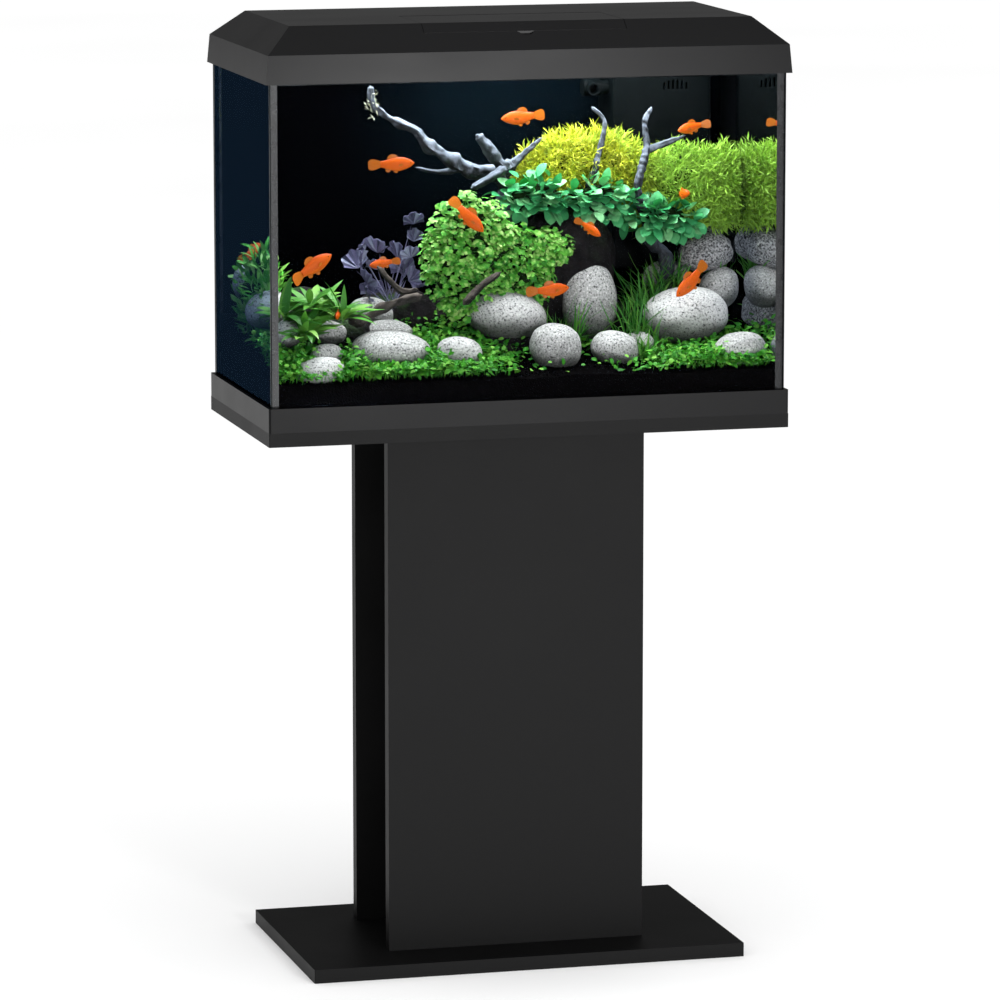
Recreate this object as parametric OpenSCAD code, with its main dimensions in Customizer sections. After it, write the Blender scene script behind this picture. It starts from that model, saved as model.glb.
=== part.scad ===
// Planted freshwater aquarium with a bevelled hood, on a matching panel stand.
// Millimetres, +Z up, +X to the right, the front is towards -Y. The origin is on the floor under the middle.

/* [Stand] */
// Height of the stand, top of its board above the floor
stand_h = 636; // [500:1:800]
// Thickness of the stand's boards
board_t = 16; // [12:1:22]
// Length of the base plate, side to side
plate_l = 512; // [440:1:600]
// Width of the front and rear panels of the column
column_w = 304; // [250:1:380]
// Depth of the column over its two panels
column_d = 176; // [140:1:210]

/* [Tank] */
// Length of the frame that the tank stands in
tank_l = 610; // [500:1:732]
// Depth of the frame, front to back
tank_d = 310; // [270:1:372]
// Height of the four upright panes
glass_h = 400; // [330:1:480]
// Thickness of the glass
glass_t = 5; // [4:0.5:6]
// Leg of the silicone fillet in the corners
bead = 4; // [3:0.5:6]
// Height of the base frame round the glass
frame_h = 27.5; // [22:0.5:36]
// Wall of the base frame
frame_wall = 4; // [3:0.5:6]

/* [Hood] */
// Height of the upright lip
lip_h = 32.5; // [28:0.5:42]
// Height of the bevelled roof above the lip
roof_h = 29.5; // [24:0.5:40]
// How far the lip hangs below the top edge of the glass
lip_drop = 19; // [14:0.5:22]
// How far the bevel comes in at the ends
bevel_end = 33.4; // [24:0.2:44]
// How far the bevel comes in at the front and rear
bevel_side = 39.5; // [30:0.5:48]
// How much the lip leans in over its height
lip_draft = 2.6; // [1:0.1:4]
// Wall of the hood
hood_wall = 3; // [2.5:0.1:3.6]

/* [Feeding flap] */
// Width of the flap
flap_w = 236; // [190:1:284]
// Distance of the hinge axis in front of the middle
flap_hinge_y = 15; // [8:0.5:25]
// How far the flap reaches over the front bevel
flap_over = 13; // [8:0.5:18]
// Radius of the hinge barrel
barrel_r = 3; // [2.6:0.1:3]
// Radius of the hinge pins
hinge_pin_r = 1.2; // [1:0.1:1.4]

/* [Light] */
// Distance from each end of the light unit to the end of the base frame
light_gap = 45; // [40:1:70]
// Width of the light unit
light_w = 44; // [36:1:52]
// Height of the light unit
light_h = 13; // [11:0.5:15]
// Number of light chips in each row
chip_count = 24; // [12:1:30]

/* [Filter] */
// Width of the filter housing
filter_w = 120; // [110:1:144]
// Depth of the filter housing
filter_d = 65; // [62:1:72]
// Height of the filter housing
filter_h = 240; // [215:1:255]
// Height of the filter housing's rim below the top edge of the glass
filter_drop = 24; // [20:1:28]
// Height of the outlet nozzle's axis below the top edge of the glass
outlet_drop = 54; // [44:1:66]
// Outer radius of the outlet pipe
pipe_r = 8; // [7:0.5:8]
// Running clearance of shafts and pipes in their bores
running_fit = 0.05; // [0.02:0.01:0.1]

/* [Planting] */
// Depth of the sand at the front pane
sand_front = 43; // [30:1:60]
// Depth of the sand at the rear pane
sand_rear = 90; // [60:1:110]

/* [Hidden] */
$fn = 48;
eps = 0.01;

// Heights above the floor
frame_z = stand_h;
ledge_t = 4;
floor_z = frame_z + ledge_t + glass_t;
pane_z = floor_z + 1;
rim_z = pane_z + glass_h;
lip_z = rim_z - lip_drop;
knee_z = lip_z + lip_h;
roof_z = knee_z + roof_h;

// Glass footprint: the panes stand inside the frame with a little room
glass_l = tank_l - 2 * frame_wall - 1;
glass_d = tank_d - 2 * frame_wall - 1;
in_x = glass_l / 2 - glass_t;
in_y = glass_d / 2 - glass_t;
seam_t = 1.5;

// Hood outline at the bottom of the lip, and the ledge that rests on the glass
hood_x = glass_l / 2 + hood_wall + 2.5;
hood_y = glass_d / 2 + hood_wall + 3.1;
seat_gap = 0.3;
rest_t = 3;
rest_in = 12.5;
flap_gap = 0.5;

// Stand screws
screw_r = 3.5;
screw_l = 50;
screw_head_r = 5;
screw_bite = 0.2;
screw_xs = [-0.79, 0, 0.79];

// ---------------------------------------------------------------- shapes used by several pieces

// Plate with rounded upright corners, centred, standing on z = 0.
module rounded_plate(l, d, h, r) {
    linear_extrude(h) {
        square([l - 2 * r, d], center = true);
        square([l, d - 2 * r], center = true);
        for (x = [-1, 1], y = [-1, 1])
            translate([x * (l / 2 - r), y * (d / 2 - r)]) circle(r);
    }
}

// Box from its centre in plan and its lowest z.
module slab(l, d, h) {
    translate([-l / 2, -d / 2, 0]) cube([l, d, h]);
}

// Tube along Z.
module pipe(r_out, r_in, h) {
    difference() {
        cylinder(r = r_out, h = h);
        translate([0, 0, -1]) cylinder(r = r_in, h = h + 2);
    }
}

// Countersunk furniture screw, head up at z = 0, with the shank below.
module furniture_screw(grow = 0) {
    translate([0, 0, -screw_l]) cylinder(r = screw_r + grow, h = screw_l);
    translate([0, 0, -3]) cylinder(r1 = screw_r + grow, r2 = screw_head_r + grow, h = 3);
}

// Row of the stand's screws, seen from above: three in each panel and two in the spine.
module screw_places() {
    for (x = screw_xs, y = [-1, 1])
        translate([x * column_w / 2, y * (column_d - board_t) / 2, 0]) children();
    for (y = [-0.28, 0.28]) translate([0, y * (column_d - 2 * board_t), 0]) children();
}

// ---------------------------------------------------------------- stand

module stand_screws_low(grow = 0) {
    translate([0, 0, 0.6]) screw_places() mirror([0, 0, 1]) furniture_screw(grow);
}

module stand_screws_high(grow = 0) {
    translate([0, 0, stand_h - 0.6]) screw_places() furniture_screw(grow);
}

module base_plate() {
    color([0.16, 0.16, 0.17]) difference() {
        rounded_plate(plate_l, tank_d, board_t, 1);
        stand_screws_low(running_fit);
        screw_places() translate([0, 0, -eps]) cylinder(r = screw_head_r + running_fit, h = 0.6 + 2 * eps);
    }
}

module top_board() {
    color([0.16, 0.16, 0.17]) difference() {
        translate([0, 0, stand_h - board_t]) rounded_plate(tank_l, tank_d, board_t, 1);
        stand_screws_high(running_fit);
        translate([0, 0, stand_h - 0.6 - eps])
            screw_places() cylinder(r = screw_head_r + running_fit, h = 0.6 + 2 * eps);
    }
}

// One upright panel of the column, at the front (-1) or the rear (1).
module column_panel(side) {
    color([0.13, 0.13, 0.14]) difference() {
        translate([0, side * (column_d - board_t) / 2, board_t])
            slab(column_w, board_t, stand_h - 2 * board_t);
        stand_screws_low(-screw_bite);
        stand_screws_high(-screw_bite);
    }
}

module front_panel() { column_panel(-1); }

module rear_panel() { column_panel(1); }

module spine_panel() {
    color([0.11, 0.11, 0.12]) difference() {
        translate([0, 0, board_t]) slab(board_t, column_d - 2 * board_t, stand_h - 2 * board_t);
        stand_screws_low(-screw_bite);
        stand_screws_high(-screw_bite);
    }
}

module base_screws() { color("silver") stand_screws_low(); }

module top_screws() { color("silver") stand_screws_high(); }

// ---------------------------------------------------------------- tank

module base_frame() {
    color([0.14, 0.14, 0.15]) translate([0, 0, frame_z]) difference() {
        rounded_plate(tank_l, tank_d, frame_h, 2.5);
        translate([0, 0, ledge_t]) slab(glass_l + 1, glass_d + 1, frame_h);
        translate([0, 0, -1]) slab(glass_l - 30, glass_d - 30, frame_h);
    }
}

module bottom_pane() {
    color("lightcyan", 0.4) translate([0, 0, frame_z + ledge_t]) slab(glass_l, glass_d, glass_t);
}

// Wedge of silicone along X, its square corner at the origin, filling towards +Y and +Z.
module fillet_run(l, leg) {
    translate([-l / 2, 0, 0]) rotate([90, 0, 90]) linear_extrude(l) polygon([[0, 0], [leg, 0], [0, leg]]);
}

module floor_fillets() {
    translate([0, 0, pane_z]) for (side = [0, 180]) {
        rotate(side) translate([0, -in_y, 0]) fillet_run(2 * in_x, bead);
        rotate(side + 90) translate([0, -in_x, 0]) fillet_run(2 * in_y, bead);
    }
}

module floor_seam() {
    color([0.05, 0.05, 0.05]) {
        translate([0, 0, floor_z]) difference() {
            slab(glass_l, glass_d, 1);
            translate([0, 0, -1]) slab(2 * (in_x - bead), 2 * (in_y - bead), 3);
        }
        floor_fillets();
    }
}

// Outline of the seam in the front right corner: the strip behind the pane's edge and its fillet.
module corner_outline() {
    polygon([[in_x + glass_t, -in_y], [in_x - bead, -in_y], [in_x, -in_y + bead],
             [in_x, -in_y + seam_t], [in_x + glass_t, -in_y + seam_t]]);
}

module corner_seams() {
    color([0.05, 0.05, 0.05]) translate([0, 0, pane_z + bead])
        for (x = [0, 1], y = [0, 1])
            mirror([x, 0, 0]) mirror([0, y, 0]) linear_extrude(glass_h - bead) corner_outline();
}

// Full-width pane at the front (-1) or the rear (1).
module long_pane(side) {
    color("lightcyan", 0.4)
        translate([0, side * (in_y + glass_t / 2), pane_z]) slab(glass_l, glass_t, glass_h);
}

// Pane between the long ones, on the left (-1) or the right (1).
module end_pane(side) {
    color("lightcyan", 0.4)
        translate([side * (in_x + glass_t / 2), 0, pane_z]) slab(glass_t, 2 * (in_y - seam_t), glass_h);
}

module front_pane() { long_pane(-1); }

module rear_pane() { long_pane(1); }

module left_pane() { end_pane(-1); }

module right_pane() { end_pane(1); }

module background_film() {
    color([0.02, 0.03, 0.05]) translate([0, glass_d / 2 + 0.15, frame_z + frame_h + 1])
        slab(glass_l - 2, 0.3, rim_z - frame_z - frame_h - 2);
}

// ---------------------------------------------------------------- hood

function unit(v) = v / norm(v);

// A point of the line from p to q, moved in by w.
function moved_in(p, q, w) = p + w * [-unit(q - p).y, unit(q - p).x];

// Where the line through p along u meets the line through q along v.
function meet(p, u, q, v) = p + u * ((q.x - p.x) * v.y - (q.y - p.y) * v.x) / (u.x * v.y - u.y * v.x);

// Right half of the hood's outline, w below its surface: lip foot, knee, roof edge.
function hood_half(half, bevel, w) =
    let (foot = [half, lip_z], knee = [half - lip_draft, knee_z], edge = [half - lip_draft - bevel, roof_z])
    let (lip = knee - foot, slope = edge - knee, foot_in = moved_in(foot, knee, w),
         knee_in = moved_in(knee, edge, w), edge_in = edge - [0, w])
    [meet(foot_in, lip, [0, lip_z], [1, 0]), meet(foot_in, lip, knee_in, slope),
     meet(knee_in, slope, edge_in, [1, 0])];

function mirrored(pts) = [for (i = [len(pts) - 1:-1:0]) [-pts[i].x, pts[i].y]];

// Solid under a surface w below the outside of the hood.
module hood_solid(w) {
    along = hood_half(hood_x, bevel_end, w);
    across = hood_half(hood_y, bevel_side, w);
    intersection() {
        translate([0, hood_y + 1, 0]) rotate([90, 0, 0])
            linear_extrude(2 * hood_y + 2) polygon(concat(along, mirrored(along)));
        translate([-hood_x - 1, 0, 0]) rotate([90, 0, 90])
            linear_extrude(2 * hood_x + 2) polygon(concat(across, mirrored(across)));
    }
}

// Layer of the roof between two depths, cut to a box in plan: x both ways, y from y0 to y1.
module roof_layer(w0, w1, half_w, y0, y1) {
    intersection() {
        difference() {
            hood_solid(w0);
            hood_solid(w1);
        }
        translate([-half_w, y0, knee_z - 8]) cube([2 * half_w, y1 - y0, roof_h + 20]);
    }
}

roof_edge_y = hood_y - lip_draft - bevel_side;
flap_front = -roof_edge_y - flap_over;
hinge_z = roof_z - barrel_r;
hinge_y = -flap_hinge_y;
opening_rear = hinge_y + barrel_r + 1.2;
cheek_t = 7.5;
pin_l = 20;
light_l = tank_l - 2 * light_gap;
light_y = 25;
light_top = roof_z - hood_wall - 8;
strap_t = 2;
boss_x = light_l / 2 - 62;
boss_y = light_w / 2 + strap_t + 6;
boss_r = 6;
light_screw_r = 1.5;
slot_x = 200;
slot_w = 40;
slot_h = 15;

module hinge_axis(l, r, both = true) {
    translate([both ? -l / 2 : 0, hinge_y, hinge_z]) rotate([0, 90, 0]) cylinder(r = r, h = l);
}

// Everything that is cut out of the roof for the flap, with a notch for a finger at its front edge.
module flap_opening() {
    w = flap_w / 2 + flap_gap;
    front = flap_front - flap_gap;
    translate([-w, front, knee_z]) cube([2 * w, opening_rear - front, 2 * roof_h]);
    translate([0, front, knee_z]) linear_extrude(2 * roof_h)
        polygon([[-10.4, eps], [-4, -5], [4, -5], [10.4, eps]]);
}

// The four bosses that the light unit hangs from, at the height of the unit's top.
module light_bosses() {
    for (x = [-1, 1], y = [-1, 1]) translate([x * boss_x, light_y + y * boss_y, light_top]) children();
}

module hood_shell() {
    rim_w = flap_w / 2;
    color([0.15, 0.15, 0.16]) difference() {
        union() {
            difference() {
                hood_solid(0);
                translate([0, 0, -eps]) hood_solid(hood_wall);
                flap_opening();
            }
            // ledge that rests on the glass
            intersection() {
                hood_solid(hood_wall / 2);
                translate([0, 0, rim_z + seat_gap]) difference() {
                    slab(2 * hood_x, 2 * hood_y, rest_t);
                    translate([0, 0, -1])
                        slab(glass_l - 2 * rest_in, glass_d - 2 * rest_in, rest_t + 2);
                }
            }
            // rim that the closed flap lies on
            difference() {
                roof_layer(hood_wall, 2 * hood_wall, rim_w + 4, flap_front - 8, hinge_y - barrel_r - 3);
                translate([0, 0, lip_z]) translate([-rim_w + 6, flap_front + 6, 0])
                    cube([2 * rim_w - 12, tank_d, lip_h + 2 * roof_h]);
            }
            // cheeks that hold the hinge pins
            for (side = [0, 1]) mirror([side, 0, 0])
                translate([flap_w / 2 + flap_gap, hinge_y - 5, hinge_z - 4])
                    cube([cheek_t, 10, barrel_r + 4 - hood_wall / 2]);
            light_bosses() translate([0, 0, strap_t])
                cylinder(r = boss_r, h = roof_z - hood_wall / 2 - light_top - strap_t);
        }
        hinge_axis(flap_w + 2 * cheek_t, hinge_pin_r);
        light_bosses() cylinder(r = light_screw_r - screw_bite / 2, h = 8);
        // two ways out for cables, through the rear lip and over the glass
        for (side = [-1, 1]) {
            translate([side * slot_x, hood_y, lip_z - eps])
                slab(slot_w, 2 * (hood_y - glass_d / 2 + 1), slot_h);
            translate([side * slot_x, (glass_d - rest_in) / 2, rim_z]) slab(slot_w, rest_in + 4, rest_t + 2);
        }
    }
}

module feeding_flap() {
    color([0.17, 0.17, 0.18]) difference() {
        union() {
            roof_layer(0, hood_wall - seat_gap, flap_w / 2, flap_front, hinge_y);
            hinge_axis(flap_w, barrel_r);
        }
        hinge_axis(flap_w + 2, hinge_pin_r + running_fit);
    }
}

module flap_hinge_pins() {
    color("silver") for (side = [0, 1]) mirror([side, 0, 0])
        translate([flap_w / 2 + cheek_t - pin_l - 1, 0, 0]) hinge_axis(pin_l, hinge_pin_r, false);
}

// ---------------------------------------------------------------- light unit under the hood

light_wall = 1.6;
lens_t = 2;
board_w = light_w - 2 * light_wall - 4;

module light_housing() {
    color("silver") translate([0, light_y, light_top - light_h]) difference() {
        slab(light_l, light_w, light_h);
        translate([0, 0, -1]) slab(light_l + 2, light_w - 2 * light_wall, light_h + 1 - light_wall);
    }
}

module led_board() {
    color("white") translate([0, light_y, light_top - light_wall - 1.5]) slab(light_l - 12, board_w, 1.5);
}

module led_chips() {
    pitch = (light_l - 40) / (chip_count - 1);
    color("lightyellow") translate([0, light_y, light_top - light_wall - 2.5])
        for (i = [0:chip_count - 1], row = [-1, 1])
            translate([(i - (chip_count - 1) / 2) * pitch, row * board_w / 4, 0]) slab(5, 5, 1);
}

module light_lens() {
    color("white", 0.5) translate([0, light_y, light_top - light_h])
        slab(light_l - 6, light_w - 2 * light_wall, lens_t);
}

// Caps with a plug that closes the ends of the channel, above the lens.
module light_end_caps() {
    color([0.1, 0.1, 0.1]) for (side = [0, 1]) mirror([side, 0, 0]) {
        difference() {
            translate([light_l / 2, light_y, light_top - light_h]) translate([0, -light_w / 2, 0])
                cube([3, light_w, light_h]);
            translate([light_l / 2 - 1, light_y, light_top - light_h / 2]) rotate([0, 90, 0])
                cylinder(r = 3.2, h = 5);
        }
    }
}

// Saddle over the housing with a hook under each side, hung from two bosses.
module light_brackets() {
    hook = light_wall;
    color("dimgray") difference() {
        for (side = [-1, 1]) translate([side * boss_x, light_y, light_top]) {
            slab(2 * boss_r, 2 * (boss_y + boss_r), strap_t);
            for (y = [0, 1]) mirror([0, y, 0]) translate([-boss_r, light_w / 2, -light_h - hook]) {
                cube([2 * boss_r, strap_t, light_h + hook]);
                translate([0, -hook, 0]) cube([2 * boss_r, hook + strap_t, hook]);
            }
        }
        light_bosses() translate([0, 0, -1]) cylinder(r = light_screw_r + 0.2, h = strap_t + 2);
    }
}

module light_screws() {
    head_h = 2;
    color("silver") light_bosses() {
        translate([0, 0, -head_h]) cylinder(r = 3, h = head_h);
        translate([0, 0, -eps]) cylinder(r = light_screw_r, h = 7.5);
    }
}

// Gland for the light's cable, in the right end cap.
module light_cable_gland() {
    color([0.08, 0.08, 0.08])
        translate([light_l / 2 - 1, light_y, light_top - light_h / 2]) rotate([0, 90, 0]) {
            pipe(3.2, 2, 9);
            translate([0, 0, 4.2]) pipe(5, 2, 3);
        }
}

// ---------------------------------------------------------------- filter in the rear right corner

filter_wall = 3;
filter_x = in_x - 15.5 - filter_w / 2;
filter_y = in_y - 7.5 - filter_d / 2;
filter_z = rim_z - filter_drop - filter_h;
divider_x = filter_x - filter_w / 2 + 56;
cover_t = 3;
cover_lip = 6;
outlet_z = rim_z - outlet_drop;
pump_x = filter_x - filter_w / 2 + 24;
pump_y = filter_y - filter_d / 2 + 23;
pump_r = 16.5;
pump_h = 70;
impeller_r = 11;
chamber_r = 12.3;
chamber_h = 2 * pipe_r + 6;
chamber_z = outlet_z - pipe_r - 3;
shaft_r = 1.25;
heater_r = 11;
heater_x = filter_x - filter_w / 2 + 39;
heater_y = filter_y + filter_d / 2 - filter_wall - heater_r - 3;
heater_z = filter_z + 15;
heater_h = 185;
intake_x = filter_x + 16;

module filter_housing() {
    floor_gap = 28;
    color([0.06, 0.06, 0.07]) difference() {
        union() {
            difference() {
                translate([filter_x, filter_y, filter_z]) rounded_plate(filter_w, filter_d, filter_h, 4);
                translate([filter_x, filter_y, filter_z + filter_wall])
                    slab(filter_w - 2 * filter_wall, filter_d - 2 * filter_wall, filter_h);
            }
            // divider between the pump chamber and the sponges
            translate([divider_x, filter_y, filter_z + filter_wall + floor_gap])
                slab(filter_wall, filter_d - filter_wall, filter_h - filter_wall - floor_gap - cover_lip - 2);
        }
        // intake slots near the top of the front wall
        for (i = [0:5]) translate([intake_x + (i - 2.5) * 5.4, filter_y - filter_d / 2, outlet_z - 2])
            slab(2.6, 3 * filter_wall, 11 - 0.5 * pow(i - 2.5, 2));
        // hole for the outlet pipe
        translate([filter_x - filter_w / 2 - 1, pump_y, outlet_z]) rotate([0, 90, 0])
            cylinder(r = pipe_r, h = filter_wall + 2);
    }
}

module filter_cover() {
    lip_gap = filter_wall + 0.4;
    color([0.07, 0.07, 0.08]) translate([filter_x, filter_y, filter_z + filter_h + seat_gap]) {
        difference() {
            union() {
                rounded_plate(filter_w, filter_d, cover_t, 4);
                translate([0, 0, -cover_lip])
                    slab(filter_w - 2 * lip_gap, filter_d - 2 * lip_gap, cover_lip + 1);
            }
            translate([0, 0, -cover_lip - 1])
                slab(filter_w - 2 * lip_gap - 4, filter_d - 2 * lip_gap - 4, cover_lip + 1);
            // passage for the heater's and the pump's cables
            translate([heater_x - filter_x, filter_d / 2 - 8, -1]) cylinder(r = 5, h = cover_t + 2);
        }
    }
}

// One sponge block in the right chamber, from a height above the housing's floor.
module sponge(z0, h) {
    left = divider_x + filter_wall / 2;
    right = filter_x + filter_w / 2 - filter_wall;
    translate([(left + right) / 2, filter_y, filter_z + filter_wall + z0])
        slab(right - left - 1, filter_d - 2 * filter_wall - 1, h);
}

module coarse_sponge() { color([0.12, 0.2, 0.35]) sponge(95, 60); }

module fine_sponge() { color([0.85, 0.85, 0.8]) sponge(33, 60); }

module pump_body() {
    color([0.1, 0.1, 0.11]) translate([pump_x, pump_y, 0]) difference() {
        translate([0, 0, chamber_z - pump_h]) cylinder(r = pump_r, h = pump_h + chamber_h);
        translate([0, 0, chamber_z]) cylinder(r = chamber_r, h = chamber_h + 1);
        translate([0, 0, chamber_z - 12]) cylinder(r = shaft_r, h = 13);
        translate([-pump_r - 1, 0, outlet_z]) rotate([0, 90, 0]) cylinder(r = pipe_r, h = pump_r - 3);
    }
}

module pump_cover() {
    color([0.12, 0.12, 0.13]) translate([pump_x, pump_y, chamber_z + chamber_h]) difference() {
        cylinder(r = pump_r, h = 3);
        for (a = [0:60:300]) rotate(a) translate([7.5, 0, -1]) cylinder(r = 2.2, h = 5);
        translate([0, 0, -1]) cylinder(r = shaft_r, h = 3);
    }
}

module pump_impeller() {
    lift = 1;
    h = chamber_h - 3;
    color("ivory") translate([pump_x, pump_y, chamber_z + lift]) difference() {
        union() {
            cylinder(r = 4, h = h);
            for (a = [0:60:300]) rotate(a) translate([2, -0.8, 0]) cube([impeller_r - 2, 1.6, h]);
        }
        translate([0, 0, -1]) cylinder(r = shaft_r + running_fit, h = h + 2);
    }
}

module impeller_shaft() {
    color("white") translate([pump_x, pump_y, chamber_z - 11])
        cylinder(r = shaft_r, h = 11 + chamber_h + 1.5);
}

nozzle_x = filter_x - filter_w / 2 - 22;
nozzle_r = 7.5;
nozzle_reach = 20;

module outlet_pipe() {
    start = nozzle_x - 2;
    color([0.09, 0.09, 0.1]) translate([start, pump_y, outlet_z]) rotate([0, 90, 0])
        pipe(pipe_r, pipe_r - 2, pump_x - chamber_r - 2 - start);
}

module outlet_nozzle() {
    color([0.09, 0.09, 0.1]) translate([nozzle_x, pump_y, outlet_z]) difference() {
        union() {
            translate([-9, 0, 0]) rotate([0, 90, 0]) cylinder(r = pipe_r + 2.2, h = 21);
            rotate([90, 0, 0]) cylinder(r = nozzle_r, h = nozzle_reach);
        }
        translate([-2 - seat_gap, 0, 0]) rotate([0, 90, 0]) cylinder(r = pipe_r + running_fit, h = 20);
        translate([-6.5, 0, 0]) rotate([0, 90, 0]) cylinder(r = nozzle_r - 2, h = 8);
        rotate([90, 0, 0]) cylinder(r = nozzle_r - 2, h = nozzle_reach + 1);
    }
}

module heater_tube() {
    color("lightcyan", 0.5) translate([heater_x, heater_y, heater_z]) {
        difference() {
            union() {
                translate([0, 0, heater_r]) cylinder(r = heater_r, h = heater_h - heater_r);
                translate([0, 0, heater_r]) sphere(heater_r);
            }
            translate([0, 0, heater_r]) cylinder(r = heater_r - 1.5, h = heater_h);
            translate([0, 0, heater_r]) sphere(heater_r - 1.5);
        }
    }
}

module heater_cap() {
    color([0.08, 0.08, 0.08]) translate([heater_x, heater_y, heater_z + heater_h]) difference() {
        union() {
            cylinder(r = heater_r + 1, h = 18);
            translate([0, 0, -8]) cylinder(r = heater_r - 1.6, h = 9);
            translate([0, 0, 18]) cylinder(r = 4, h = 5);
        }
        translate([0, 0, 14]) cylinder(r = 2.5, h = 10);
    }
}

module suction_cups() {
    back = filter_y + filter_d / 2;
    cup_d = in_y - back;
    color("dimgray") for (x = [-1, 1], z = [0.2, 0.8])
        translate([filter_x + x * filter_w * 0.32, back, filter_z + z * filter_h]) rotate([-90, 0, 0]) {
            cylinder(r = 5, h = cup_d - 3);
            translate([0, 0, cup_d - 3]) cylinder(r1 = 5, r2 = 14, h = 3);
        }
}

// ---------------------------------------------------------------- sand, rocks and wood

// Places in the tank are shares of its inside: x and y from the middle, z from the floor to the rim.
function place(p) = [p.x * in_x, p.y * in_y, floor_z + p.z * glass_h];

// Height of the sand's surface at a share of the depth.
function sand_z(fy) = floor_z + sand_front + (sand_rear - sand_front) * (fy + 1) / 2;

module sand_bed() {
    color([0.08, 0.07, 0.06]) difference() {
        translate([-in_x, 0, 0]) rotate([90, 0, 90]) linear_extrude(2 * in_x)
            polygon([[-in_y, floor_z], [in_y, floor_z], [in_y, sand_z(1)], [-in_y, sand_z(-1)]]);
        floor_seam();
        corner_seams();
    }
}

// Rounded stones: share of the length, share of the depth, height over the sand, half width, half height.
// The share counts from the wall of the tank to the stone's own side, so no stone leaves it.
module cobbles(stones) {
    for (s = stones) {
        keep_x = in_x - s[3] - bead;
        keep_y = in_y - 0.9 * s[3] - bead;
        translate([s[0] * keep_x, s[1] * keep_y, sand_z(s[1]) + s[2]])
            scale([s[3], 0.82 * s[3], s[4]]) sphere(1, $fn = 32);
    }
}

module dark_rocks() {
    color([0.09, 0.08, 0.07]) cobbles([
        [0.35, 0.15, 72, 60, 74], [-0.08, 0.3, 15, 55, 40], [-0.45, 0.35, 12, 55, 36],
        [0.99, 0.38, 89, 26, 24], [0.98, 0.08, 92, 30, 21],
        [0.82, -0.05, 2, 60, 34], [-0.88, 0.5, 18, 50, 34], [0.95, 0.35, 18, 50, 32],
        [-0.84, -0.15, 6, 64, 34], [0.02, -0.3, 4, 44, 24]]);
}

module left_cobbles() {
    color([0.66, 0.66, 0.65]) cobbles([
        [-0.9, -0.98, 8, 28, 18], [-0.6, -0.8, 22, 46, 24], [-0.78, -0.41, 32, 21, 14],
        [-0.81, -0.68, 16, 18, 14],
        [-0.57, -0.08, 38, 26, 19], [-0.95, -0.48, 36, 17, 16], [-0.53, -0.38, 30, 27, 12],
        [-1, 0.2, 36, 26, 22], [-1, 0.85, 44, 28, 22]]);
}

module middle_cobbles() {
    color([0.68, 0.68, 0.67]) cobbles([
        [0, -0.4, 43, 45, 29], [0.41, -0.18, 50, 34, 47], [0.17, -0.83, 20, 30, 28],
        [0.44, -0.77, 15, 27, 21], [-0.26, -0.8, 18, 26, 20], [0.56, -0.5, 26, 20, 16]]);
}

module right_cobbles() {
    color([0.68, 0.68, 0.67]) cobbles([
        [0.885, -0.475, 37, 52, 34], [1, -0.92, 13, 30, 23], [1, 0, 50, 23, 25], [0.82, 0.34, 52, 27, 21]]);
}

// Crooked limb through a list of places with a radius at each end.
module limb(points, r0, r1) {
    last = len(points) - 1;
    radius = function (i) r0 + (r1 - r0) * i / last;
    for (i = [0:last - 1]) hull() {
        translate(place(points[i])) sphere(radius(i), $fn = 10);
        translate(place(points[i + 1])) sphere(radius(i + 1), $fn = 10);
    }
}

// Share of the height at which a limb stands in the sand.
function root(fx, fy) = [fx, fy, (sand_z(fy) - floor_z - bead) / glass_h];

module branch_wood() {
    color([0.45, 0.47, 0.5]) {
        limb([root(0.02, 0.2), [0.05, 0.15, 0.5], [0.03, 0.14, 0.64], [-0.09, 0.14, 0.655],
              [-0.17, 0.14, 0.69], [-0.26, 0.14, 0.73], [-0.31, 0.14, 0.78], [-0.4, 0.14, 0.8],
              [-0.48, 0.14, 0.85], [-0.49, 0.14, 0.9]], 9, 2.5);
        limb([[0.03, 0.14, 0.64], [0.12, 0.12, 0.695], [0.2, 0.12, 0.745]], 6, 2.5);
        limb([[0.04, 0.06, 0.66], [-0.08, 0, 0.76]], 6, 5);
        limb([[0.03, 0.14, 0.64], [-0.11, -0.06, 0.61]], 6, 3);
    }
}

module tree_wood() {
    color([0.45, 0.47, 0.5]) {
        limb([root(0.68, 0), [0.69, 0, 0.38], [0.64, 0, 0.43], [0.61, 0, 0.46], [0.63, 0.03, 0.49],
              [0.59, 0.14, 0.55], [0.59, 0.14, 0.61], [0.62, 0.14, 0.67], [0.63, 0.14, 0.71],
              [0.62, 0.14, 0.78], [0.65, 0.14, 0.82]], 7, 1.8);
        limb([[0.63, 0.14, 0.7], [0.7, 0.14, 0.71], [0.79, 0.14, 0.73]], 4, 2);
        limb([[0.36, 0.15, 0.32], [0.4, 0.2, 0.5], [0.43, 0.2, 0.63], [0.44, 0.2, 0.67], [0.47, 0.2, 0.77],
              [0.41, 0.2, 0.82]], 3.5, 1.6);
    }
}

module low_wood() {
    color([0.5, 0.48, 0.44]) {
        limb([[-0.65, -0.48, 0.27], [-0.6, -0.48, 0.26], [-0.52, -0.48, 0.29], [-0.44, -0.48, 0.31],
              [-0.36, -0.48, 0.325]], 5, 4);
        limb([[-0.53, -0.41, 0.41], [-0.44, -0.41, 0.34], [-0.37, -0.44, 0.34]], 2, 3);
        limb([[-0.06, -0.58, 0.39], [-0.14, -0.58, 0.35], [-0.21, -0.58, 0.3]], 2, 3.5);
    }
}

// ---------------------------------------------------------------- plants and fish: plain closed forms

// Mounds: a place as shares, then three half sizes as shares of the inside's half length, half depth
// and height.
module mounds(list) {
    for (m = list) translate(place([m[0], m[1], m[2]]))
        scale([m[3] * in_x, m[4] * in_y, m[5] * glass_h]) sphere(1, $fn = 32);
}

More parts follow.
